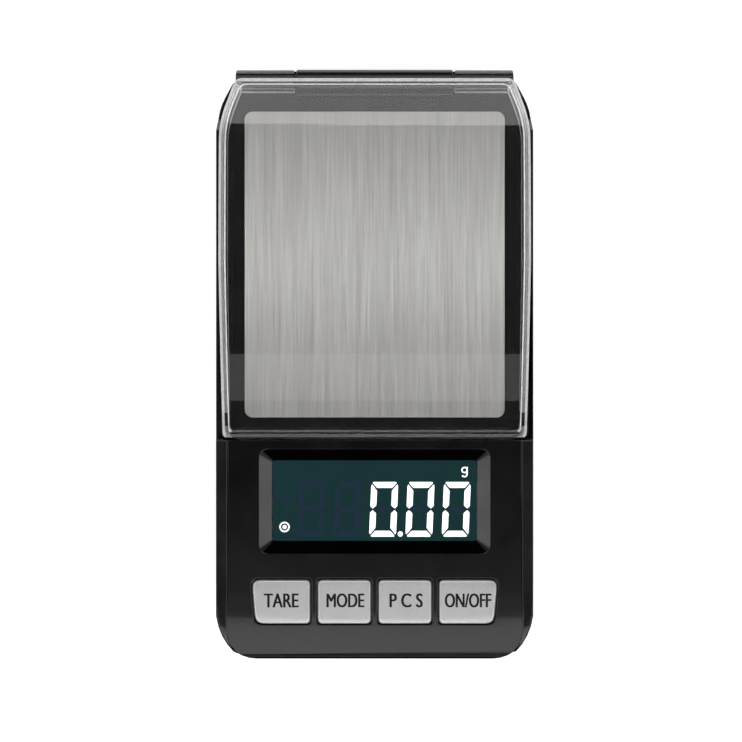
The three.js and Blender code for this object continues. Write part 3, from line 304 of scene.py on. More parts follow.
def shape_from(scratch):
    """Takes a scratch object's mesh back into a bmesh and removes the object."""
    shape = bmesh.new()
    shape.from_mesh(scratch.data)
    bpy.data.objects.remove(scratch)
    bmesh.ops.remove_doubles(shape, verts=shape.verts, dist=1e-7)
    return shape


def add_edge_rounding(piece, width):
    """Rounds sharp edges and keeps the large faces flat in the shading."""
    bevel = piece.modifiers.new("round_edges", "BEVEL")
    bevel.limit_method = "ANGLE"
    bevel.angle_limit = math.radians(ROUNDED_ANGLE)
    bevel.width = width * MM
    bevel.segments = 2
    bevel.use_clamp_overlap = False
    bevel.miter_outer = "MITER_ARC"
    corners = [Vector(corner) for corner in piece.bound_box]
    inside = piece.modifiers.new("keep_inside", "NODES")
    inside.node_group = box_group(corners[0], corners[6])
    keep_faces_flat(piece)


def keep_faces_flat(piece):
    weights = piece.modifiers.new("flat_faces", "WEIGHTED_NORMAL")
    weights.keep_sharp = True


def geometry_group(name):
    """An empty geometry node group with its two ends: tree, entry and exit."""
    tree = bpy.data.node_groups.new(name, "GeometryNodeTree")
    tree.interface.new_socket("Geometry", in_out="INPUT", socket_type="NodeSocketGeometry")
    tree.interface.new_socket("Geometry", in_out="OUTPUT", socket_type="NodeSocketGeometry")
    return tree, tree.nodes.new("NodeGroupInput"), tree.nodes.new("NodeGroupOutput")


def weld_group():
    """A node group that joins the frame's split vertices and shades across all but sharp edges."""
    tree, entry, exit_node = geometry_group("weld_and_shade")
    merge = tree.nodes.new("GeometryNodeMergeByDistance")
    merge.inputs["Distance"].default_value = 1e-6
    angle = tree.nodes.new("GeometryNodeInputMeshEdgeAngle")
    compare = tree.nodes.new("FunctionNodeCompare")
    compare.operation = "GREATER_THAN"
    compare.inputs[1].default_value = math.radians(SHARP_ANGLE)
    shade = tree.nodes.new("GeometryNodeSetMeshNormal")
    tree.links.new(entry.outputs[0], merge.inputs["Geometry"])
    tree.links.new(merge.outputs["Geometry"], shade.inputs["Mesh"])
    tree.links.new(angle.outputs["Unsigned Angle"], compare.inputs[0])
    tree.links.new(compare.outputs["Result"], shade.inputs["Edge Sharpness"])
    tree.links.new(shade.outputs["Mesh"], exit_node.inputs[0])
    return tree


def box_group(low, high):
    """A node group that brings stray corners of the rounding back inside a box."""
    tree, entry, exit_node = geometry_group("keep_inside")
    place = tree.nodes.new("GeometryNodeInputPosition").outputs[0]
    for operation, corner in (("MAXIMUM", low), ("MINIMUM", high)):
        limit = tree.nodes.new("ShaderNodeVectorMath")
        limit.operation = operation
        tree.links.new(place, limit.inputs[0])
        limit.inputs[1].default_value = corner
        place = limit.outputs[0]
    move = tree.nodes.new("GeometryNodeSetPosition")
    tree.links.new(entry.outputs[0], move.inputs["Geometry"])
    tree.links.new(place, move.inputs["Position"])
    tree.links.new(move.outputs[0], exit_node.inputs[0])
    return tree


def refine_node(name, group, width):
    """Smooth shading on a CAD node, with rounded edges where a width is given."""
    node = nodes[name]
    weld = node.modifiers.new("weld", "NODES")
    weld.node_group = group
    if width:
        flatten = node.modifiers.new("merge_flat_facets", "DECIMATE")
        flatten.decimate_type = "DISSOLVE"
        flatten.angle_limit = math.radians(FLAT_ANGLE)
        add_edge_rounding(node, width)


# ---------------------------------------------------------------- material helpers

# Sockets of a Mix node in its colour mode.
COLOUR_A = 6
COLOUR_B = 7
COLOUR_RESULT = 2


class Finish:
    """A material with one Principled shader, and short calls for its other nodes."""

    def __init__(self, name):
        self.material = bpy.data.materials.new(name)
        self.material.use_nodes = True
        self.tree = self.material.node_tree
        self.tree.nodes.clear()
        self.output = self.tree.nodes.new("ShaderNodeOutputMaterial")
        self.shader = self.tree.nodes.new("ShaderNodeBsdfPrincipled")
        self.tree.links.new(self.shader.outputs["BSDF"], self.output.inputs["Surface"])
        place = self.tree.nodes.new("ShaderNodeTexCoord")
        self.place = place.outputs["Object"]
        self.facing = place.outputs["Normal"]

    def node(self, kind, inputs=None, **settings):
        node = self.tree.nodes.new("ShaderNode" + kind)
        for name, value in settings.items():
            setattr(node, name, value)
        for name, value in (inputs or {}).items():
            self.feed(node.inputs[name], value)
        return node

    def feed(self, socket, value):
        if isinstance(value, bpy.types.NodeSocket):
            self.tree.links.new(value, socket)
        else:
            socket.default_value = value

    def set(self, **values):
        """Sets the shader's sockets: base_color=... feeds "Base Color"."""
        for name, value in values.items():
            title = name.replace("_", " ").title().replace("Ior", "IOR")
            self.feed(self.shader.inputs[title], value)

    def noise(self, per_mm, detail=2.0, stretch=(1, 1, 1), distortion=0.0):
        """Noise with about per_mm features in a millimetre along each axis, times stretch."""
        scale = tuple(per_mm / MM * part for part in stretch)
        mapped = self.node("Mapping", {"Vector": self.place, "Scale": scale})
        inputs = {"Vector": mapped.outputs["Vector"], "Scale": 1.0}
        inputs.update({"Detail": detail, "Distortion": distortion})
        return self.node("TexNoise", inputs).outputs["Fac"]

    def blend(self, share, first, second, low=0.0, high=1.0):
        """Goes from the first colour to the second while share goes from low to high."""
        return self.mix_colours(self.span(share, low, high, 0.0, 1.0), first, second)

    def mix_colours(self, share, first, second, blend_type="MIX"):
        mix = self.node("Mix", data_type="RGBA", blend_type=blend_type)
        self.feed(mix.inputs["Factor"], share)
        self.feed(mix.inputs[COLOUR_A], first)
        self.feed(mix.inputs[COLOUR_B], second)
        return mix.outputs[COLOUR_RESULT]

    def math(self, operation, *values):
        """The result of a math node, whose inputs are the values in turn."""
        return self.node("Math", dict(enumerate(values)), operation=operation).outputs[0]

    def parts(self, vector):
        """The X, Y and Z parts of a vector."""
        return self.node("SeparateXYZ", {"Vector": vector}).outputs

    def mix_shaders(self, share, first, second):
        mix = self.node("MixShader")
        for socket, value in zip(mix.inputs, (share, first, second)):
            self.feed(socket, value)
        return mix.outputs["Shader"]

    def finish_with(self, surface):
        """Puts a shader in place of the Principled one at the output, and returns the finish."""
        self.feed(self.output.inputs["Surface"], surface)
        return self

    def span(self, value, low, high, first, last):
        """Maps low..high to first..last, held at both ends."""
        inputs = {"Value": value, "From Min": low, "From Max": high, "To Min": first, "To Max": last}
        return self.node("MapRange", inputs, clamp=True).outputs["Result"]

    def above(self, value, low, high):
        """Rises from 0 to 1 while a length in metres goes from low to high millimetres."""
        return self.span(value, low * MM, high * MM, 0.0, 1.0)

    def below(self, value, low, high):
        """Falls from 1 to 0 while a length in metres goes from low to high millimetres."""
        return self.span(value, low * MM, high * MM, 1.0, 0.0)

    def bump(self, height, depth, strength):
        """A bump whose full height is depth millimetres."""
        inputs = {"Height": height, "Distance": depth * MM, "Strength": strength}
        return self.node("Bump", inputs).outputs["Normal"]


def grey(value):
    return (value, value, value, 1.0)


def moulded_plastic(name, dark, light, roughness, grain=5.0, depth=0.012):
    """Spark-textured moulded plastic with faint handling marks."""
    finish = Finish(name)
    fine = finish.noise(grain, detail=3.0)
    patches = finish.noise(0.12, detail=4.0, distortion=0.4)
    finish.set(
        base_color=finish.blend(patches, dark, light, 0.3, 0.7),
        roughness=finish.span(patches, 0.25, 0.75, roughness - 0.04, roughness + 0.05),
        normal=finish.bump(fine, depth, 0.35),
        specular_ior_level=0.5,
    )
    return finish


def case_plastic(name):
    """Satin black plastic, with painted shade on two walls of the display recess and on the steep foot
    of the nose: a darker diffuse black there.
    """
    finish = moulded_plastic(name, grey(0.0014), grey(0.0022), 0.21, depth=0.002)
    x, y, z = finish.parts(finish.place)
    facing = finish.math("ABSOLUTE", finish.parts(finish.facing)[1])
    across = finish.math("ABSOLUTE", x)
    along = finish.math("ABSOLUTE", finish.math("ADD", y, -RECESS_Y * MM))
    half_x, half_y = RECESS_HALF
    # Painted shade: the recess's front and rear walls get a darker diffuse black.
    recess = finish.span(facing, 0.12, 0.42, 0.0, 1.0)
    recess = finish.math("MULTIPLY", recess, finish.below(z, RECESS_TOP_Z - 0.1, RECESS_TOP_Z))
    recess = finish.math("MULTIPLY", recess, finish.below(across, half_x, half_x + 0.1))
    recess = finish.math("MULTIPLY", recess, finish.below(along, half_y, half_y + 0.1))
    # Painted shade on the steep foot of the nose.
    foot = finish.span(facing, 0.6, 0.7, 0.0, 1.0)
    foot = finish.math("MULTIPLY", foot, finish.below(y, NOSE_FOOT_Y, NOSE_FOOT_Y + 0.5))
    foot = finish.math("MULTIPLY", foot, finish.above(z, NOSE_FOOT_Z - 1, NOSE_FOOT_Z))
    patches = finish.noise(0.12, detail=4.0, distortion=0.4)
    # The darker black of the painted shade.
    black = finish.blend(patches, grey(0.0008), grey(0.0014), 0.3, 0.7)
    painted_shade = finish.node("BsdfDiffuse", {"Color": black}).outputs["BSDF"]
    share = finish.math("MAXIMUM", recess, foot)
    return finish.finish_with(finish.mix_shaders(share, finish.shader.outputs["BSDF"], painted_shade))


def brushed_steel(name):
    """Stainless sheet brushed along Y in streaks of several widths, with a painted highlight that makes
    its colour lightest halfway along.
    """
    finish = Finish(name)
    hair = finish.noise(6.0, detail=2.0, stretch=(1, 0.01, 1))
    streaks = finish.noise(4.4, detail=3.0, stretch=(1, 0.008, 1))
    bands = finish.noise(0.22, detail=2.0, stretch=(1, 0.05, 1))
    tone = finish.blend(bands, (0.52, 0.515, 0.505, 1), (0.57, 0.565, 0.555, 1), 0.3, 0.7)
    lines = finish.blend(streaks, grey(0.88), grey(1.1), 0.35, 0.65)
    streaked = finish.mix_colours(1.0, tone, lines, "MULTIPLY")
    # Painted highlight: the base colour is raised round one Y and lowered away from it.
    middle = finish.math("ADD", finish.parts(finish.place)[1], -PAINTED_HIGHLIGHT_Y * MM)
    away = finish.math("ABSOLUTE", middle)
    limits = {"Value": away, "From Min": 0.0, "From Max": PAINTED_HIGHLIGHT_REACH * MM}
    highlight_falloff = finish.node("MapRange", limits, clamp=True, interpolation_type="SMOOTHSTEP")
    painted_highlight = finish.blend(highlight_falloff.outputs["Result"], (1.3, 1.29, 1.26, 1), (0.86, 0.85, 0.835, 1))
    finish.set(
        base_color=finish.mix_colours(1.0, streaked, painted_highlight, "MULTIPLY"),
        metallic=1.0,
        roughness=finish.span(hair, 0.3, 0.7, 0.34, 0.5),
        anisotropic=0.7,
        anisotropic_rotation=0.25,
        normal=finish.bump(hair, 0.008, 0.6),
    )
    tangent = finish.node("Tangent", direction_type="UV_MAP", uv_map="sheet")
    finish.feed(finish.shader.inputs["Tangent"], tangent.outputs["Tangent"])
    return finish


def painted_silver(name):
    """Silver paint on plastic: a fine metallic fleck under a satin coat."""
    finish = Finish(name)
    fleck = finish.noise(7.0, detail=2.0)
    cloud = finish.noise(0.5, detail=3.0)
    finish.set(
        base_color=finish.blend(fleck, (0.53, 0.53, 0.535, 1), (0.70, 0.70, 0.71, 1), 0.3, 0.7),
        metallic=0.55,
        roughness=finish.span(cloud, 0.3, 0.7, 0.3, 0.38),
        normal=finish.bump(fleck, 0.006, 0.5),
    )
    return finish


def metal(name, dark, light, roughness, grain=3.0, stretch=(1, 1, 1)):
    """Plain bare metal with a fine grain and slight dulling."""
    finish = Finish(name)
    fine = finish.noise(grain, detail=3.0, stretch=stretch)
    dull = finish.noise(0.35, detail=3.0)
    finish.set(
        base_color=finish.blend(dull, dark, light, 0.3, 0.7),
        metallic=1.0,
        roughness=finish.span(fine, 0.3, 0.7, roughness - 0.08, roughness + 0.1),
        normal=finish.bump(fine, 0.006, 0.4),
    )
    return finish


def clear_plastic(name, roughness):
    """Clear moulded acrylic."""
    finish = Finish(name)
    marks = finish.noise(0.5, detail=4.0, distortion=0.6)
    finish.set(
        base_color=grey(1.0),
        roughness=finish.span(marks, 0.35, 0.75, roughness, roughness + 0.02),
        transmission_weight=1.0,
        ior=1.49,
    )
    return finish


def let_light_through(finish, surface):
    """Makes a clear surface cast almost no shadow."""
    shadow = finish.node("LightPath").outputs["Is Shadow Ray"]
    through = finish.node("BsdfTransparent", {"Color": (0.93, 0.94, 0.95, 1)}).outputs["BSDF"]
    return finish.finish_with(finish.mix_shaders(shadow, surface, through))


def window_plastic(name):
    finish = clear_plastic(name, 0.02)
    return let_light_through(finish, finish.shader.outputs["BSDF"])


def lid_plastic(name):
    """Clear acrylic with painted highlights of white diffuse along its rim, its rounded edges and its
    rear top edge, and dark grey behind the hinge.
    """
    finish = clear_plastic(name, 0.0)
    _, y, z = finish.parts(finish.place)
    normal = finish.parts(finish.facing)
    # Dark grey behind the hinge line.
    dark_grey_share = finish.above(y, DARK_GREY_Y, DARK_GREY_Y + 0.1)
    finish.set(base_color=finish.mix_colours(dark_grey_share, grey(1.0), grey(0.07)))
    level = finish.math("ABSOLUTE", normal[2])
    sideways = finish.math("ABSOLUTE", normal[0])
    # Painted highlight: shares of white diffuse on the rim, the rounded crown edges and the rear top
    # edge, where the lid shows bright edges.
    rim = finish.below(z, RIM_HIGHLIGHT_Z - 0.05, RIM_HIGHLIGHT_Z)
    rim = finish.math("MULTIPLY", rim, finish.span(level, 0.88, 0.93, 1.0, RIM_FLAT_HIGHLIGHT))
    rear_y = [part * MM for part in REAR_EDGE_Y]
    rear = finish.span(y, *rear_y, 0.0, REAR_EDGE_HIGHLIGHT)
    rear = finish.math("MULTIPLY", rear, finish.above(z, REAR_EDGE_Z, REAR_EDGE_Z + 0.3))
    fillet_highlight_share = finish.span(level, 0.15, 0.3, 0.0, 1.0)
    fillet_highlight_share = finish.math("MULTIPLY", fillet_highlight_share, finish.span(level, 0.9, 0.95, FILLET_HIGHLIGHT, 0.0))
    fillet_highlight_share = finish.math("MULTIPLY", fillet_highlight_share, finish.above(z, CROWN_HIGHLIGHT_Z - 0.5, CROWN_HIGHLIGHT_Z))
    fillet_highlight_share = finish.math("MULTIPLY", fillet_highlight_share, finish.span(sideways, 0.1, 0.3, FRONT_FILLET_HIGHLIGHT, 1.0))
    share = finish.math("MAXIMUM", finish.math("MAXIMUM", rim, rear), fillet_highlight_share)
    # The white diffuse of the painted highlights, with faint streaks.
    streak = finish.noise(1.5, detail=3.0)
    white = finish.blend(streak, grey(0.7), grey(0.95), 0.3, 0.7)
    highlight_white = finish.node("BsdfDiffuse", {"Color": white}).outputs["BSDF"]
    return let_light_through(finish, finish.mix_shaders(share, finish.shader.outputs["BSDF"], highlight_white))


def rubber(name, dark, light):
    finish = Finish(name)
    fine = finish.noise(4.0, detail=4.0)
    dust = finish.noise(0.6, detail=5.0)
    finish.set(
        base_color=finish.blend(dust, dark, light, 0.45, 0.7),
        roughness=finish.span(fine, 0.3, 0.7, 0.7, 0.85),
        normal=finish.bump(fine, 0.02, 0.4),
    )
    return finish


def glowing(name, per_mm, dark, light):
    """A face of the lit display that gives off its own colour and reflects nothing."""
    finish = Finish(name)
    haze = finish.noise(per_mm, detail=2.0)
    finish.set(
        base_color=grey(0.001),
        roughness=0.5,
        specular_ior_level=0.0,
        emission_color=finish.blend(haze, dark, light, 0.3, 0.7),
        emission_strength=1.0,
    )
    return finish


def lit_character(name):
    """A display segment with the backlight shining through it."""
    finish = Finish(name)
    haze = finish.noise(0.8, detail=2.0)
    colour = finish.blend(haze, (0.90, 0.965, 0.955, 1), (1, 1, 1, 1), 0.3, 0.7)
    finish.set(base_color=grey(0.8), roughness=0.5, emission_color=colour, emission_strength=1.0)
    return finish





def ink(name):
    finish = Finish(name)
    edge = finish.noise(6.0, detail=2.0)
    finish.set(
        base_color=finish.blend(edge, grey(0.004), grey(0.010), 0.3, 0.7),
        roughness=0.55,
        specular_ior_level=0.2,
        normal=finish.bump(edge, 0.003, 0.3),
    )
    return finish


def circuit_board(name):
    """Green solder mask over faint copper tracks."""
    finish = Finish(name)
    mapped = finish.node("Mapping", {"Vector": finish.place, "Scale": (400, 400, 400)})
    inputs = {"Vector": mapped.outputs["Vector"], "Scale": 1.0}
    tracks = finish.node("TexVoronoi", inputs, distance="MANHATTAN")
    lines = finish.span(tracks.outputs["Distance"], 0.42, 0.46, 0.0, 1.0)
    finish.set(
        base_color=finish.blend(lines, (0.012, 0.10, 0.035, 1), (0.03, 0.17, 0.06, 1)),
        roughness=finish.span(lines, 0.0, 1.0, 0.3, 0.42),
        normal=finish.bump(lines, 0.03, 0.5),
        coat_weight=0.3,
    )
    return finish


def cell_sleeve(name):
    """A dry cell's printed sleeve: dark with one pale band, and bare metal at both ends."""
    finish = Finish(name)
    along = finish.above(finish.parts(finish.place)[0], -CELL_HALF, CELL_HALF)
    band = finish.node("ValToRGB", {"Fac": along})
    ramp = band.color_ramp
    ramp.interpolation = "CONSTANT"
    bare = grey(0.6)
    dark = (0.015, 0.03, 0.07, 1)
    pale = (0.55, 0.57, 0.6, 1)
    stops = [(0.0, bare), (0.03, dark), (0.34, pale), (0.40, dark), (0.97, bare)]
    while len(ramp.elements) < len(stops):
        ramp.elements.new(1.0)
    for element, (position, colour) in zip(ramp.elements, stops):
        element.position = position
        element.color = colour
    fine = finish.noise(2.0, detail=2.0)
    finish.set(
        base_color=band.outputs["Color"],
        metallic=0.35,
        roughness=finish.span(fine, 0.3, 0.7, 0.24, 0.32),
        normal=finish.bump(fine, 0.004, 0.3),
    )
    return finish


def plain_floor(name):
    """A white sweep that lights back, and lets a camera under it look up at the part."""
    finish = Finish(name)
    marks = finish.noise(0.002, detail=2.0)
    finish.set(
        base_color=finish.blend(marks, grey(0.86), grey(0.9)),
        roughness=0.9,
        specular_ior_level=0.1,
        emission_color=grey(1.0),
        emission_strength=0.6,
    )
    underside = finish.node("NewGeometry").outputs["Backfacing"]
    through = finish.node("BsdfTransparent").outputs["BSDF"]
    return finish.finish_with(finish.mix_shaders(underside, finish.shader.outputs["BSDF"], through))


BEAM_TONES = ((0.72, 0.73, 0.74, 1), (0.82, 0.83, 0.84, 1))
DISPLAY_TONES = ((0.0055, 0.029, 0.032, 1), (0.0065, 0.033, 0.036, 1))
GHOST_TONES = ((0.0100, 0.0270, 0.046, 1), (0.0120, 0.0290, 0.050, 1))

# The look of each material slot of the frame.
LOOKS = {
    "case_black": case_plastic("case_plastic"),
    "lid_clear": lid_plastic("lid_acrylic"),
    "pin_black": moulded_plastic("pin_plastic", grey(0.012), grey(0.018), 0.45),
    "platform_steel": brushed_steel("plate_steel"),
    "key_silver": painted_silver("key_paint"),
    "key_tip": moulded_plastic("plunger_plastic", grey(0.03), grey(0.045), 0.45),
    "foot_rubber": rubber("foot_rubber", grey(0.008), grey(0.03)),
    "beam_aluminium": metal("beam_aluminium", *BEAM_TONES, 0.34, 2.0, (4, 0.1, 4)),
    "screw_steel": metal("screw_steel", (0.42, 0.43, 0.45, 1), (0.6, 0.61, 0.62, 1), 0.34),
    "gauge_sealant": rubber("gauge_sealant", (0.62, 0.64, 0.63, 1), (0.75, 0.77, 0.75, 1)),
    "wire_red": moulded_plastic("wire_red", (0.45, 0.012, 0.012, 1), (0.55, 0.02, 0.02, 1), 0.42),
    "wire_black": moulded_plastic("wire_black", grey(0.006), grey(0.012), 0.42),
    "wire_white": moulded_plastic("wire_white", grey(0.68), grey(0.78), 0.42),
    "wire_green": moulded_plastic("wire_green", (0.012, 0.19, 0.04, 1), (0.02, 0.26, 0.06, 1), 0.42),
    "board_green": circuit_board("board_green"),
    "chip_black": moulded_plastic("chip_epoxy", grey(0.010), grey(0.018), 0.55),
    "zebra_rubber": rubber("zebra_rubber", grey(0.25), grey(0.45)),
    "backlight_white": moulded_plastic("backlight_white", grey(0.72), grey(0.8), 0.4),
    "lcd_teal": glowing("display_teal", 0.06, *DISPLAY_TONES),
    "window_clear": window_plastic("window_acrylic"),
    "cell_wrap": cell_sleeve("cell_sleeve"),
    "contact_nickel": metal("contact_nickel", (0.6, 0.58, 0.54, 1), (0.72, 0.70, 0.66, 1), 0.26),
}
MATERIALS = {slot: look.material for slot, look in LOOKS.items()}
INK = ink("key_ink").material
LIT = lit_character("display_lit").material
GHOST = glowing("display_ghost", 0.8, *GHOST_TONES).material


# ---------------------------------------------------------------- CAD nodes that stay

EDGE_ROUNDING = {
    "top_case": 0.22,
    "bottom_case": 0.22,
    "battery_door": 0.2,
    "platform_tray": 0.25,
    "key_tare": 0.16,
    "key_mode": 0.16,
    "key_pieces": 0.16,
    "key_power": 0.16,
    "rubber_foot_front_left": 0.25,
    "rubber_foot_front_right": 0.25,
    "rubber_foot_rear_left": 0.25,
    "rubber_foot_rear_right": 0.25,
    "load_cell_beam": 0.15,
    "lcd_holder": 0.12,
    "controller_chip": 0.12,
    "adc_chip": 0.12,
    "crystal": 0.3,
}


def refine_cad_nodes():
    group = weld_group()
    for name, node in nodes.items():
        slot = node.material_slots[0].material.name
        node.material_slots[0].material = MATERIALS[slot]
        refine_node(name, group, EDGE_ROUNDING.get(name, 0.0))


# ---------------------------------------------------------------- lid

def eased_corner(before, corner, after, reach, steps):
    """Points along a curve that leaves and meets the two sides reach millimetres from the corner."""
    corner = Vector(corner)
    start = corner + (Vector(before) - corner).normalized() * reach
    end = corner + (Vector(after) - corner).normalized() * reach
    points = []
    for i in range(steps + 1):
        share = i / steps
        point = start * (1 - share) ** 2 + corner * (2 * share * (1 - share)) + end * share ** 2
        points.append((point.x, point.y))
    return points


def lid_outline(inset):
    """The lid in plan, drawn smaller all round by inset, anticlockwise from the front right corner."""
    front = (LID_FRONT_HALF_X - inset, LID_FRONT_Y + inset)
    widest = (LID_HALF_X - inset, LID_WIDEST_Y)
    flank = (LID_FLANK[0] - inset, LID_FLANK[1])
    rear = (LID_REAR[0] - 0.8 * inset, LID_REAR[1] - inset)
    right = eased_corner((-front[0], front[1]), front, widest, LID_FRONT_ROUND, CORNER_STEPS // 2)
    right.append(widest)
    right += eased_corner(widest, flank, rear, LID_FLANK_ROUND, CORNER_STEPS)
    right += eased_corner(flank, rear, (-rear[0], rear[1]), LID_REAR_ROUND, CORNER_STEPS)
    left = [(-x, y) for x, y in reversed(right)]
    return right + left


def crown_height(y, drop=0.0):
    radius = CROWN_RADIUS - drop
    return CROWN_TOP_Z - CROWN_RADIUS + math.sqrt(radius * radius - (y - CROWN_Y) ** 2)


def lid_profile(inset, drop, edge_round, steps=6):
    """Rings up one side of the lid, as (inset, drop below the crown), ending on the crown."""
    rings = []
    for i in range(steps + 1):
        angle = math.radians(90 * i / steps)
        inward = edge_round * (1 - math.cos(angle))
        downward = edge_round * (1 - math.sin(angle))
        rings.append((inset + inward, drop + downward))
    return rings


def cut_in_strips(shape, first, last):
    """Splits every face along lines of constant Y, so that the crown can curve."""
    count = int((last - first) / CROWN_STRIP)
    for i in range(1, count):
        y = first + (last - first) * i / count
        geometry = shape.verts[:] + shape.edges[:] + shape.faces[:]
        bmesh.ops.bisect_plane(
            shape, geom=geometry, dist=1e-8, plane_co=(0, y * MM, 0), plane_no=(0, 1, 0)
        )


def lid_shell():
    """The lid's walls and crown in one skin, outside and inside joined round the rim."""
    flat = 1000.0  # where the crown lies until it is curved, far above the rim
    shape = bmesh.new()
    outer = [(LID_RIM_ROUND, LID_LOW_Z), (0, LID_LOW_Z + LID_RIM_ROUND)]
    inner = [(LID_WALL - LID_RIM_ROUND, LID_LOW_Z), (LID_WALL, LID_LOW_Z + LID_RIM_ROUND)]
    outer_profile = lid_profile(0, 0, CROWN_EDGE_ROUND)
    inner_profile = lid_profile(LID_WALL, CROWN_SKIN, CROWN_INNER_ROUND)
    outer += [(inset, flat - drop) for inset, drop in outer_profile]
    inner += [(inset, flat - drop) for inset, drop in inner_profile]
    outer_rings = [add_ring(shape, lid_outline(inset), z) for inset, z in outer]
    inner_rings = [add_ring(shape, lid_outline(inset), z) for inset, z in inner]
    for rings in (outer_rings, inner_rings):
        for lower, upper in zip(rings, rings[1:]):
            bridge(shape, lower, upper)
        shape.faces.new(rings[-1])
    bridge(shape, inner_rings[0], outer_rings[0])
    cut_in_strips(shape, LID_FRONT_Y, LID_REAR[1])
    for vertex in shape.verts:
        height = vertex.co.z / MM
        if height > flat / 2:
            drop = flat - height
            share = min(drop, CROWN_SKIN)
            vertex.co.z = (crown_height(vertex.co.y / MM, share) - (drop - share)) * MM
    return shape


def knuckle(near, far):
    """A round knuckle with its ends eased."""
    shape = bmesh.new()
    ease = 0.3 * KNUCKLE_ROUND
    ends = [(near, KNUCKLE_ROUND), (near + ease, ease), (near + KNUCKLE_ROUND, 0)]
    ends += [(near + far - x, inset) for x, inset in reversed(ends)]
    rings = [ring_round_x(shape, x, HINGE_Y, HINGE_Z, KNUCKLE_RADIUS - inset) for x, inset in ends]
    for lower, upper in zip(rings, rings[1:]):
        bridge(shape, lower, upper)
    shape.faces.new(list(reversed(rings[0])))
    shape.faces.new(rings[-1])
    return shape


def make_lid():
    past = 5  # how far a cut reaches past the lid
    lid = as_object(lid_shell())
    half_x, top = PLATEAU_ROOM
    over_plateau = box_solid(-half_x, half_x, LID_FRONT_Y - past, 0, CUT_LOW_Z, top)
    outside = LID_HALF_X + past
    over_nibs = box_solid(-outside, outside, *NOTCH_Y, CUT_LOW_Z, NOTCH_TOP_Z)
    half_x, front, top = BARREL_ROOM
    over_barrel = box_solid(-half_x, half_x, front, LID_REAR[1] + past, CUT_LOW_Z, top)
    for cut in (over_plateau, over_nibs, over_barrel):
        combine(lid, as_object(cut), "DIFFERENCE")
    for side in (LEFT, RIGHT):
        near, far = sorted((side * KNUCKLE_IN_X, side * KNUCKLE_OUT_X))
        combine(lid, as_object(knuckle(near, far)), "UNION")
        bore = rod_along_x(HINGE_Y, HINGE_Z, near - past, far + past, KNUCKLE_BORE)
        combine(lid, as_object(bore), "DIFFERENCE")
    piece = finish_mesh("clear_lid", shape_from(lid), MATERIALS["lid_clear"], "lid")
    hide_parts("lid")
    keep_faces_flat(piece)
    mark_sharp_edges(piece.data)


def mark_sharp_edges(mesh):
    """Keeps the shading crisp across the sharper edges."""
    limit = math.radians(CROWN_SHARP)
    shape = bmesh.new()
    shape.from_mesh(mesh)
    for edge in shape.edges:
        edge.smooth = len(edge.link_faces) == 2 and edge.calc_face_angle() < limit
    shape.to_mesh(mesh)
    shape.free()


# ---------------------------------------------------------------- weighing plate

def make_plate():
    low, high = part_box("platform_plate")
    low, high = low / MM, high / MM
    centre = ((low.x + high.x) / 2, (low.y + high.y) / 2)
    half_x = (high.x - low.x) / 2
    half_y = (high.y - low.y) / 2
    rings = [(PLATE_BURR, low.z), (0, low.z + PLATE_BURR)]
    steps = 5
    for i in range(steps + 1):
        angle = math.radians(90 * i / steps)
        inset = PLATE_EDGE_ROUND * (1 - math.cos(angle))
        rings.append((inset, high.z - PLATE_EDGE_ROUND * (1 - math.sin(angle))))
    shape = stacked_solid([
        (rounded_rectangle(centre, half_x - inset, half_y - inset, PLATE_CORNER - inset), z)
        for inset, z in rings
    ])
    layer = shape.loops.layers.uv.new("sheet")
    for face in shape.faces:
        for loop in face.loops:
            loop[layer].uv = (loop.vert.co.x, loop.vert.co.y)
    steel = MATERIALS["platform_steel"]
    piece = finish_mesh("weighing_plate", shape, steel, "platform")
    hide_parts("platform_plate")
    keep_faces_flat(piece)


# ---------------------------------------------------------------- display characters

def digit_segments():
    """The seven segments of a digit as outlines, with the digit's lower left corner at 0, 0."""
    width, height, stroke, gap = DIGIT_WIDTH, DIGIT_HEIGHT, DIGIT_STROKE, DIGIT_GAP
    shoulder = 0.5
    nip = 0.3
    bar_end = 0.9
    waist = height / 2 + 0.17
    middle = height / 2
    top = [
        (shoulder, height), (nip, height - 0.2), (stroke, height - stroke),
        (width - stroke, height - stroke), (width - nip, height - 0.2), (width - shoulder, height),
    ]
    upper_left = [
        (0, height - 0.95), (0.17, height - shoulder), (stroke, height - stroke - gap),
        (stroke, waist + 0.7), (0.55, waist), (0, waist + 0.55),
    ]
    bar = [
        (bar_end, middle), (stroke, middle + stroke / 2), (width - stroke, middle + stroke / 2),
        (width - bar_end, middle), (width - stroke, middle - stroke / 2), (stroke, middle - stroke / 2),
    ]
    flip_x = lambda outline: [(width - x, y) for x, y in outline]
    flip_y = lambda outline: [(x, height - y) for x, y in outline]
    return {
        "top": top,
        "upper_left": upper_left,
        "upper_right": flip_x(upper_left),
        "middle": bar,
        "lower_left": flip_y(upper_left),
        "lower_right": flip_x(flip_y(upper_left)),
        "bottom": flip_y(top),
    }


def display_place():
    """The middle of the display glass in plan and the height just above it, in millimetres."""
    low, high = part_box("lcd_glass")
    middle = (low + high) / 2 / MM
    return middle.x, middle.y, high.z / MM + CHARACTER_LIFT


def thin_sheet(outlines, height, corner=0.0):
    """Flat outlines made into thin closed plates, with their corners eased."""
    whole = bmesh.new()
    easing = {"offset": corner * MM, "segments": 3, "affect": "VERTICES", "profile": 0.5}
    for outline in outlines:
        face = whole.faces.new(add_ring(whole, outline, height))
        if corner:
            bmesh.ops.bevel(whole, geom=list(face.verts), **easing)
    bmesh.ops.recalc_face_normals(whole, faces=whole.faces)
    raised = bmesh.ops.extrude_face_region(whole, geom=whole.faces[:])
    for part in raised["geom"]:
        if isinstance(part, bmesh.types.BMVert):
            part.co.z += CHARACTER_SKIN * MM
    return whole


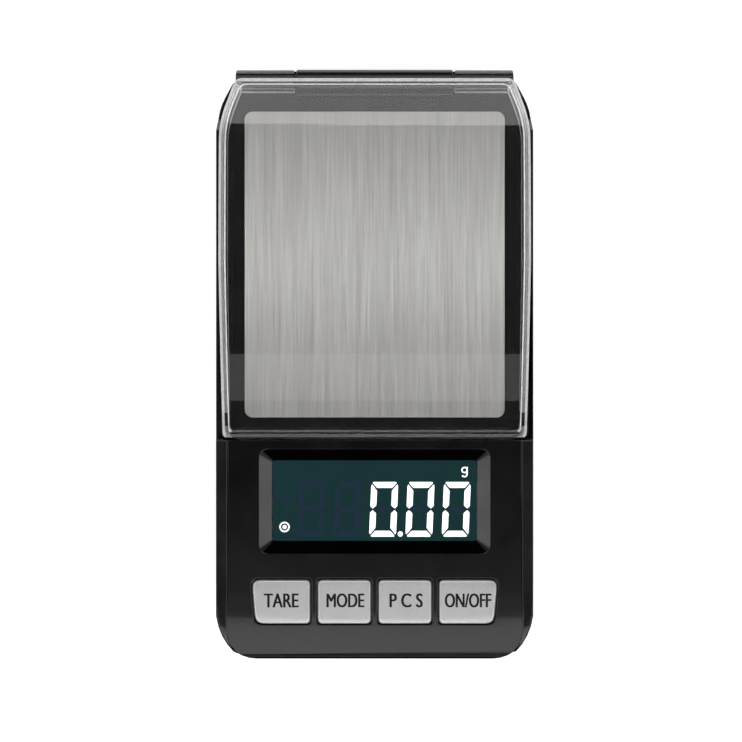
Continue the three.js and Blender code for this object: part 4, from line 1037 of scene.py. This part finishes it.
def digit_outlines(centre_x, centre_y, wanted):
    """The wanted segments of a slanting digit whose middle is at (centre_x, centre_y)."""
    segments = digit_segments()
    left = centre_x - DIGIT_WIDTH / 2
    foot = centre_y - DIGIT_HEIGHT / 2
    place = lambda x, y: (left + x + DIGIT_SLANT * (y - DIGIT_HEIGHT / 2), foot + y)
    return [[place(x, y) for x, y in segments[name]] for name in segments if name in wanted]


def circle(centre, radius, steps=32):
    return corner_points(centre, (radius, radius), 0, 360 * (steps - 1) / steps, steps - 1)


def make_characters():
    """The reading 0.00 g, lit, with the unused characters as faint shapes."""
    x, y, z = display_place()
    row = y + DIGIT_CENTRE_Y
    zero = ("top", "upper_left", "upper_right", "lower_left", "lower_right", "bottom")
    every = zero + ("middle",)
    ghosts = []
    for i in range(DIGITS):
        centre = x + FIRST_DIGIT_X + i * DIGIT_PITCH
        if i < UNLIT_DIGITS:
            ghosts += digit_outlines(centre, row, every)
            continue
        ghosts += digit_outlines(centre, row, ("middle",))
        sheet = thin_sheet(digit_outlines(centre, row, zero), z, DIGIT_CORNER)
        finish_mesh(f"display_digit_{i - 1}", sheet, LIT, "case")
    minus_x, minus_y = x + MINUS_PLACE[0], y + MINUS_PLACE[1]
    half_x, half_y = MINUS_HALF
    corners = ((-half_x, half_y), (half_x, half_y), (half_x, -half_y), (-half_x, -half_y))
    ghosts.append([(minus_x + dx, minus_y + dy) for dx, dy in corners])
    finish_mesh("display_ghosts", thin_sheet(ghosts, z), GHOST, "case")
    point = thin_sheet([circle((x + POINT_PLACE[0], y + POINT_PLACE[1]), POINT_RADIUS)], z)
    finish_mesh("display_point", point, LIT, "case")
    make_zero_mark(x + ZERO_MARK_PLACE[0], y + ZERO_MARK_PLACE[1], z)
    make_unit(x + UNIT_PLACE[0], y + UNIT_PLACE[1], z)


def make_zero_mark(x, y, z):
    """The ring and dot that say the reading has settled at zero."""
    radii = ZERO_MARK_RADII
    shape = thin_sheet([circle((x, y), radii["dot"])], z)
    ring_sheet(shape, (x, y), radii["outer"], radii["inner"], z)
    finish_mesh("display_zero_mark", shape, LIT, "case")


def stroke_outline(points, width):
    """The outline of an open stroke of constant width along the points."""
    left, right = [], []
    for i, point in enumerate(points):
        before = Vector(points[max(i - 1, 0)])
        after = Vector(points[min(i + 1, len(points) - 1)])
        along = (after - before).normalized()
        side = Vector((-along.y, along.x)) * width / 2
        left.append((point[0] + side.x, point[1] + side.y))
        right.append((point[0] - side.x, point[1] - side.y))
    return right + left[::-1]


def ring_sheet(shape, centre, outer, inner, height):
    """Adds a closed flat ring to a shape."""
    steps = 40
    top = height + CHARACTER_SKIN
    section = ((outer, height), (outer, top), (inner, top), (inner, height))
    loops = [add_ring(shape, circle(centre, radius, steps), z) for radius, z in section]
    for first, second in zip(loops, loops[1:] + loops[:1]):
        bridge(shape, first, second)


def make_unit(x, y, z):
    """The letter g in one storey: a bowl, a stem and a hook."""
    hook_steps = 8
    hook_sweep = 150
    lift = 0.001  # keeps the bowl's top clear of the stem's
    right = UNIT_BOWL - UNIT_STROKE / 2
    hook = [(right, UNIT_BOWL), (right, -UNIT_DROP)]
    for i in range(1, hook_steps + 1):
        angle = math.radians(-i * hook_sweep / hook_steps)
        hook.append((right * math.cos(angle), right * math.sin(angle) - UNIT_DROP))
    outline = [(x + px, y + py) for px, py in stroke_outline(hook, UNIT_STROKE)]
    shape = thin_sheet([outline], z)
    ring_sheet(shape, (x, y), UNIT_BOWL, UNIT_BOWL - UNIT_STROKE, z + lift)
    finish_mesh("display_unit", shape, LIT, "case")


# ---------------------------------------------------------------- lettering

def flat_text(text, width):
    """Text as a closed plate whose lower left corner is at the origin, scaled to a width."""
    curve = bpy.data.curves.new("text", "FONT")
    curve.body = text
    curve.size = 1.0
    curve.resolution_u = 6
    curve.extrude = 0.05
    source = bpy.data.objects.new("text", curve)
    scene.collection.objects.link(source)
    depsgraph = bpy.context.evaluated_depsgraph_get()
    mesh = bpy.data.meshes.new_from_object(source.evaluated_get(depsgraph))
    bpy.data.objects.remove(source)
    shape = bmesh.new()
    shape.from_mesh(mesh)
    bmesh.ops.remove_doubles(shape, verts=shape.verts, dist=1e-6)
    xs = [v.co.x for v in shape.verts]
    ys = [v.co.y for v in shape.verts]
    across = width * MM / (max(xs) - min(xs))
    up = LABEL_CAP_HEIGHT * MM / (max(ys) - min(ys))
    left, foot = min(xs), min(ys)
    for v in shape.verts:
        v.co.x = (v.co.x - left) * across
        v.co.y = (v.co.y - foot) * up
        v.co.z = LABEL_SKIN * MM if v.co.z > 0 else 0.0
    return shape


def place_flat(shape, x, y):
    """Moves a flat plate so that its middle is over (x, y)."""
    xs = [v.co.x for v in shape.verts]
    ys = [v.co.y for v in shape.verts]
    middle = Vector(((min(xs) + max(xs)) / 2, (min(ys) + max(ys)) / 2, 0))
    for v in shape.verts:
        v.co += Vector((x, y, 0)) * MM - middle


def make_labels():
    """The key words, printed on the sloping key tops."""
    for key, label in LABELS.items():
        node = f"key_{key}"
        low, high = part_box(node)
        middle = (low + high) / 2 / MM
        shape = bold_text(label["text"], label["width"])
        y = middle.y + LABEL_CAP_HEIGHT / 2 + LABEL_BASELINE_Y
        place_flat(shape, middle.x + label["shift"], y)
        lay_on_key(shape, nodes[node], high.z)
        finish_mesh(f"label_{key}", shape, INK, f"{key}_key")


def bold_text(text, width):
    """Text with its upright strokes made wider by a second copy a little to the right."""
    first = as_object(flat_text(text, width - LABEL_BOLD))
    second = flat_text(text, width - LABEL_BOLD)
    for v in second.verts:
        v.co.x += LABEL_BOLD * MM
    combine(first, as_object(second), "UNION")
    return shape_from(first)


def lay_on_key(shape, node, above):
    """Cuts a flat plate in strips along X and drops each point onto the key's curved top."""
    strips = 6
    for i in range(1, strips):
        ys = [v.co.y for v in shape.verts]
        y = min(ys) + (max(ys) - min(ys)) * i / strips
        geometry = shape.verts[:] + shape.edges[:] + shape.faces[:]
        bmesh.ops.bisect_plane(shape, geom=geometry, dist=1e-9, plane_co=(0, y, 0), plane_no=(0, 1, 0))
    tree = BVHTree.FromObject(node, bpy.context.evaluated_depsgraph_get())
    for v in shape.verts:
        start = Vector((v.co.x, v.co.y, above + RAY_START * MM))
        hit = tree.ray_cast(start, Vector((0, 0, -1)))[0]
        v.co.z = hit.z + (LABEL_SKIN * MM if v.co.z > 0 else -LABEL_SKIN * MM)


# ---------------------------------------------------------------- studio

def add_camera():
    data = bpy.data.cameras.new("camera")
    data.lens = CAMERA_LENS
    data.sensor_width = SENSOR_WIDTH
    data.clip_start = 0.01
    camera = bpy.data.objects.new("camera", data)
    camera.location = Vector(CAMERA_PLACE) * MM
    scene.collection.objects.link(camera)
    scene.camera = camera


def add_panel(name, azimuth, tilt, spread, length, power):
    """A soft panel seen from the scale between tilt - spread and tilt + spread degrees off the vertical.

    azimuth 0 is toward +Y and 90 toward +X. length is along the panel's long side.
    """
    data = bpy.data.lights.new(name, "AREA")
    data.shape = "RECTANGLE"
    data.size = length
    data.size_y = 2 * PANEL_DISTANCE * math.tan(math.radians(spread))
    data.energy = power * data.size * data.size_y
    panel = bpy.data.objects.new(name, data)
    turn = math.radians(azimuth)
    lean = math.radians(tilt)
    outward = math.sin(lean)
    direction = Vector((outward * math.sin(turn), outward * math.cos(turn), math.cos(lean)))
    panel.location = direction * PANEL_DISTANCE + Vector((0, 0, PANEL_AIM_Z))
    panel.rotation_euler = (-lean, 0, -turn)
    scene.collection.objects.link(panel)


def add_lights():
    for name, panel in PANELS.items():
        add_panel(name, *panel)


def add_world():
    """Dim all round, and white where the camera looks past the floor."""
    world = bpy.data.worlds.new("studio")
    world.use_nodes = True
    tree = world.node_tree
    tree.nodes.clear()
    dim = tree.nodes.new("ShaderNodeBackground")
    dim.inputs["Color"].default_value = grey(0.06)
    pale = tree.nodes.new("ShaderNodeBackground")
    pale.inputs["Color"].default_value = grey(1.0)
    path = tree.nodes.new("ShaderNodeLightPath")
    mix = tree.nodes.new("ShaderNodeMixShader")
    output = tree.nodes.new("ShaderNodeOutputWorld")
    tree.links.new(path.outputs["Is Camera Ray"], mix.inputs[0])
    tree.links.new(dim.outputs[0], mix.inputs[1])
    tree.links.new(pale.outputs[0], mix.inputs[2])
    tree.links.new(mix.outputs[0], output.inputs["Surface"])
    scene.world = world


def add_floor():
    shape = bmesh.new()
    bmesh.ops.create_grid(shape, x_segments=4, y_segments=4, size=FLOOR_HALF * MM)
    mesh = bpy.data.meshes.new("floor")
    shape.to_mesh(mesh)
    shape.free()
    floor = bpy.data.objects.new("floor", mesh)
    scene.collection.objects.link(floor)
    mesh.materials.append(plain_floor("floor_white").material)


add_camera()
refine_cad_nodes()
make_lid()
make_plate()
make_characters()
make_labels()
add_lights()
add_world()
add_floor()
scene.view_settings.view_transform = "Standard"
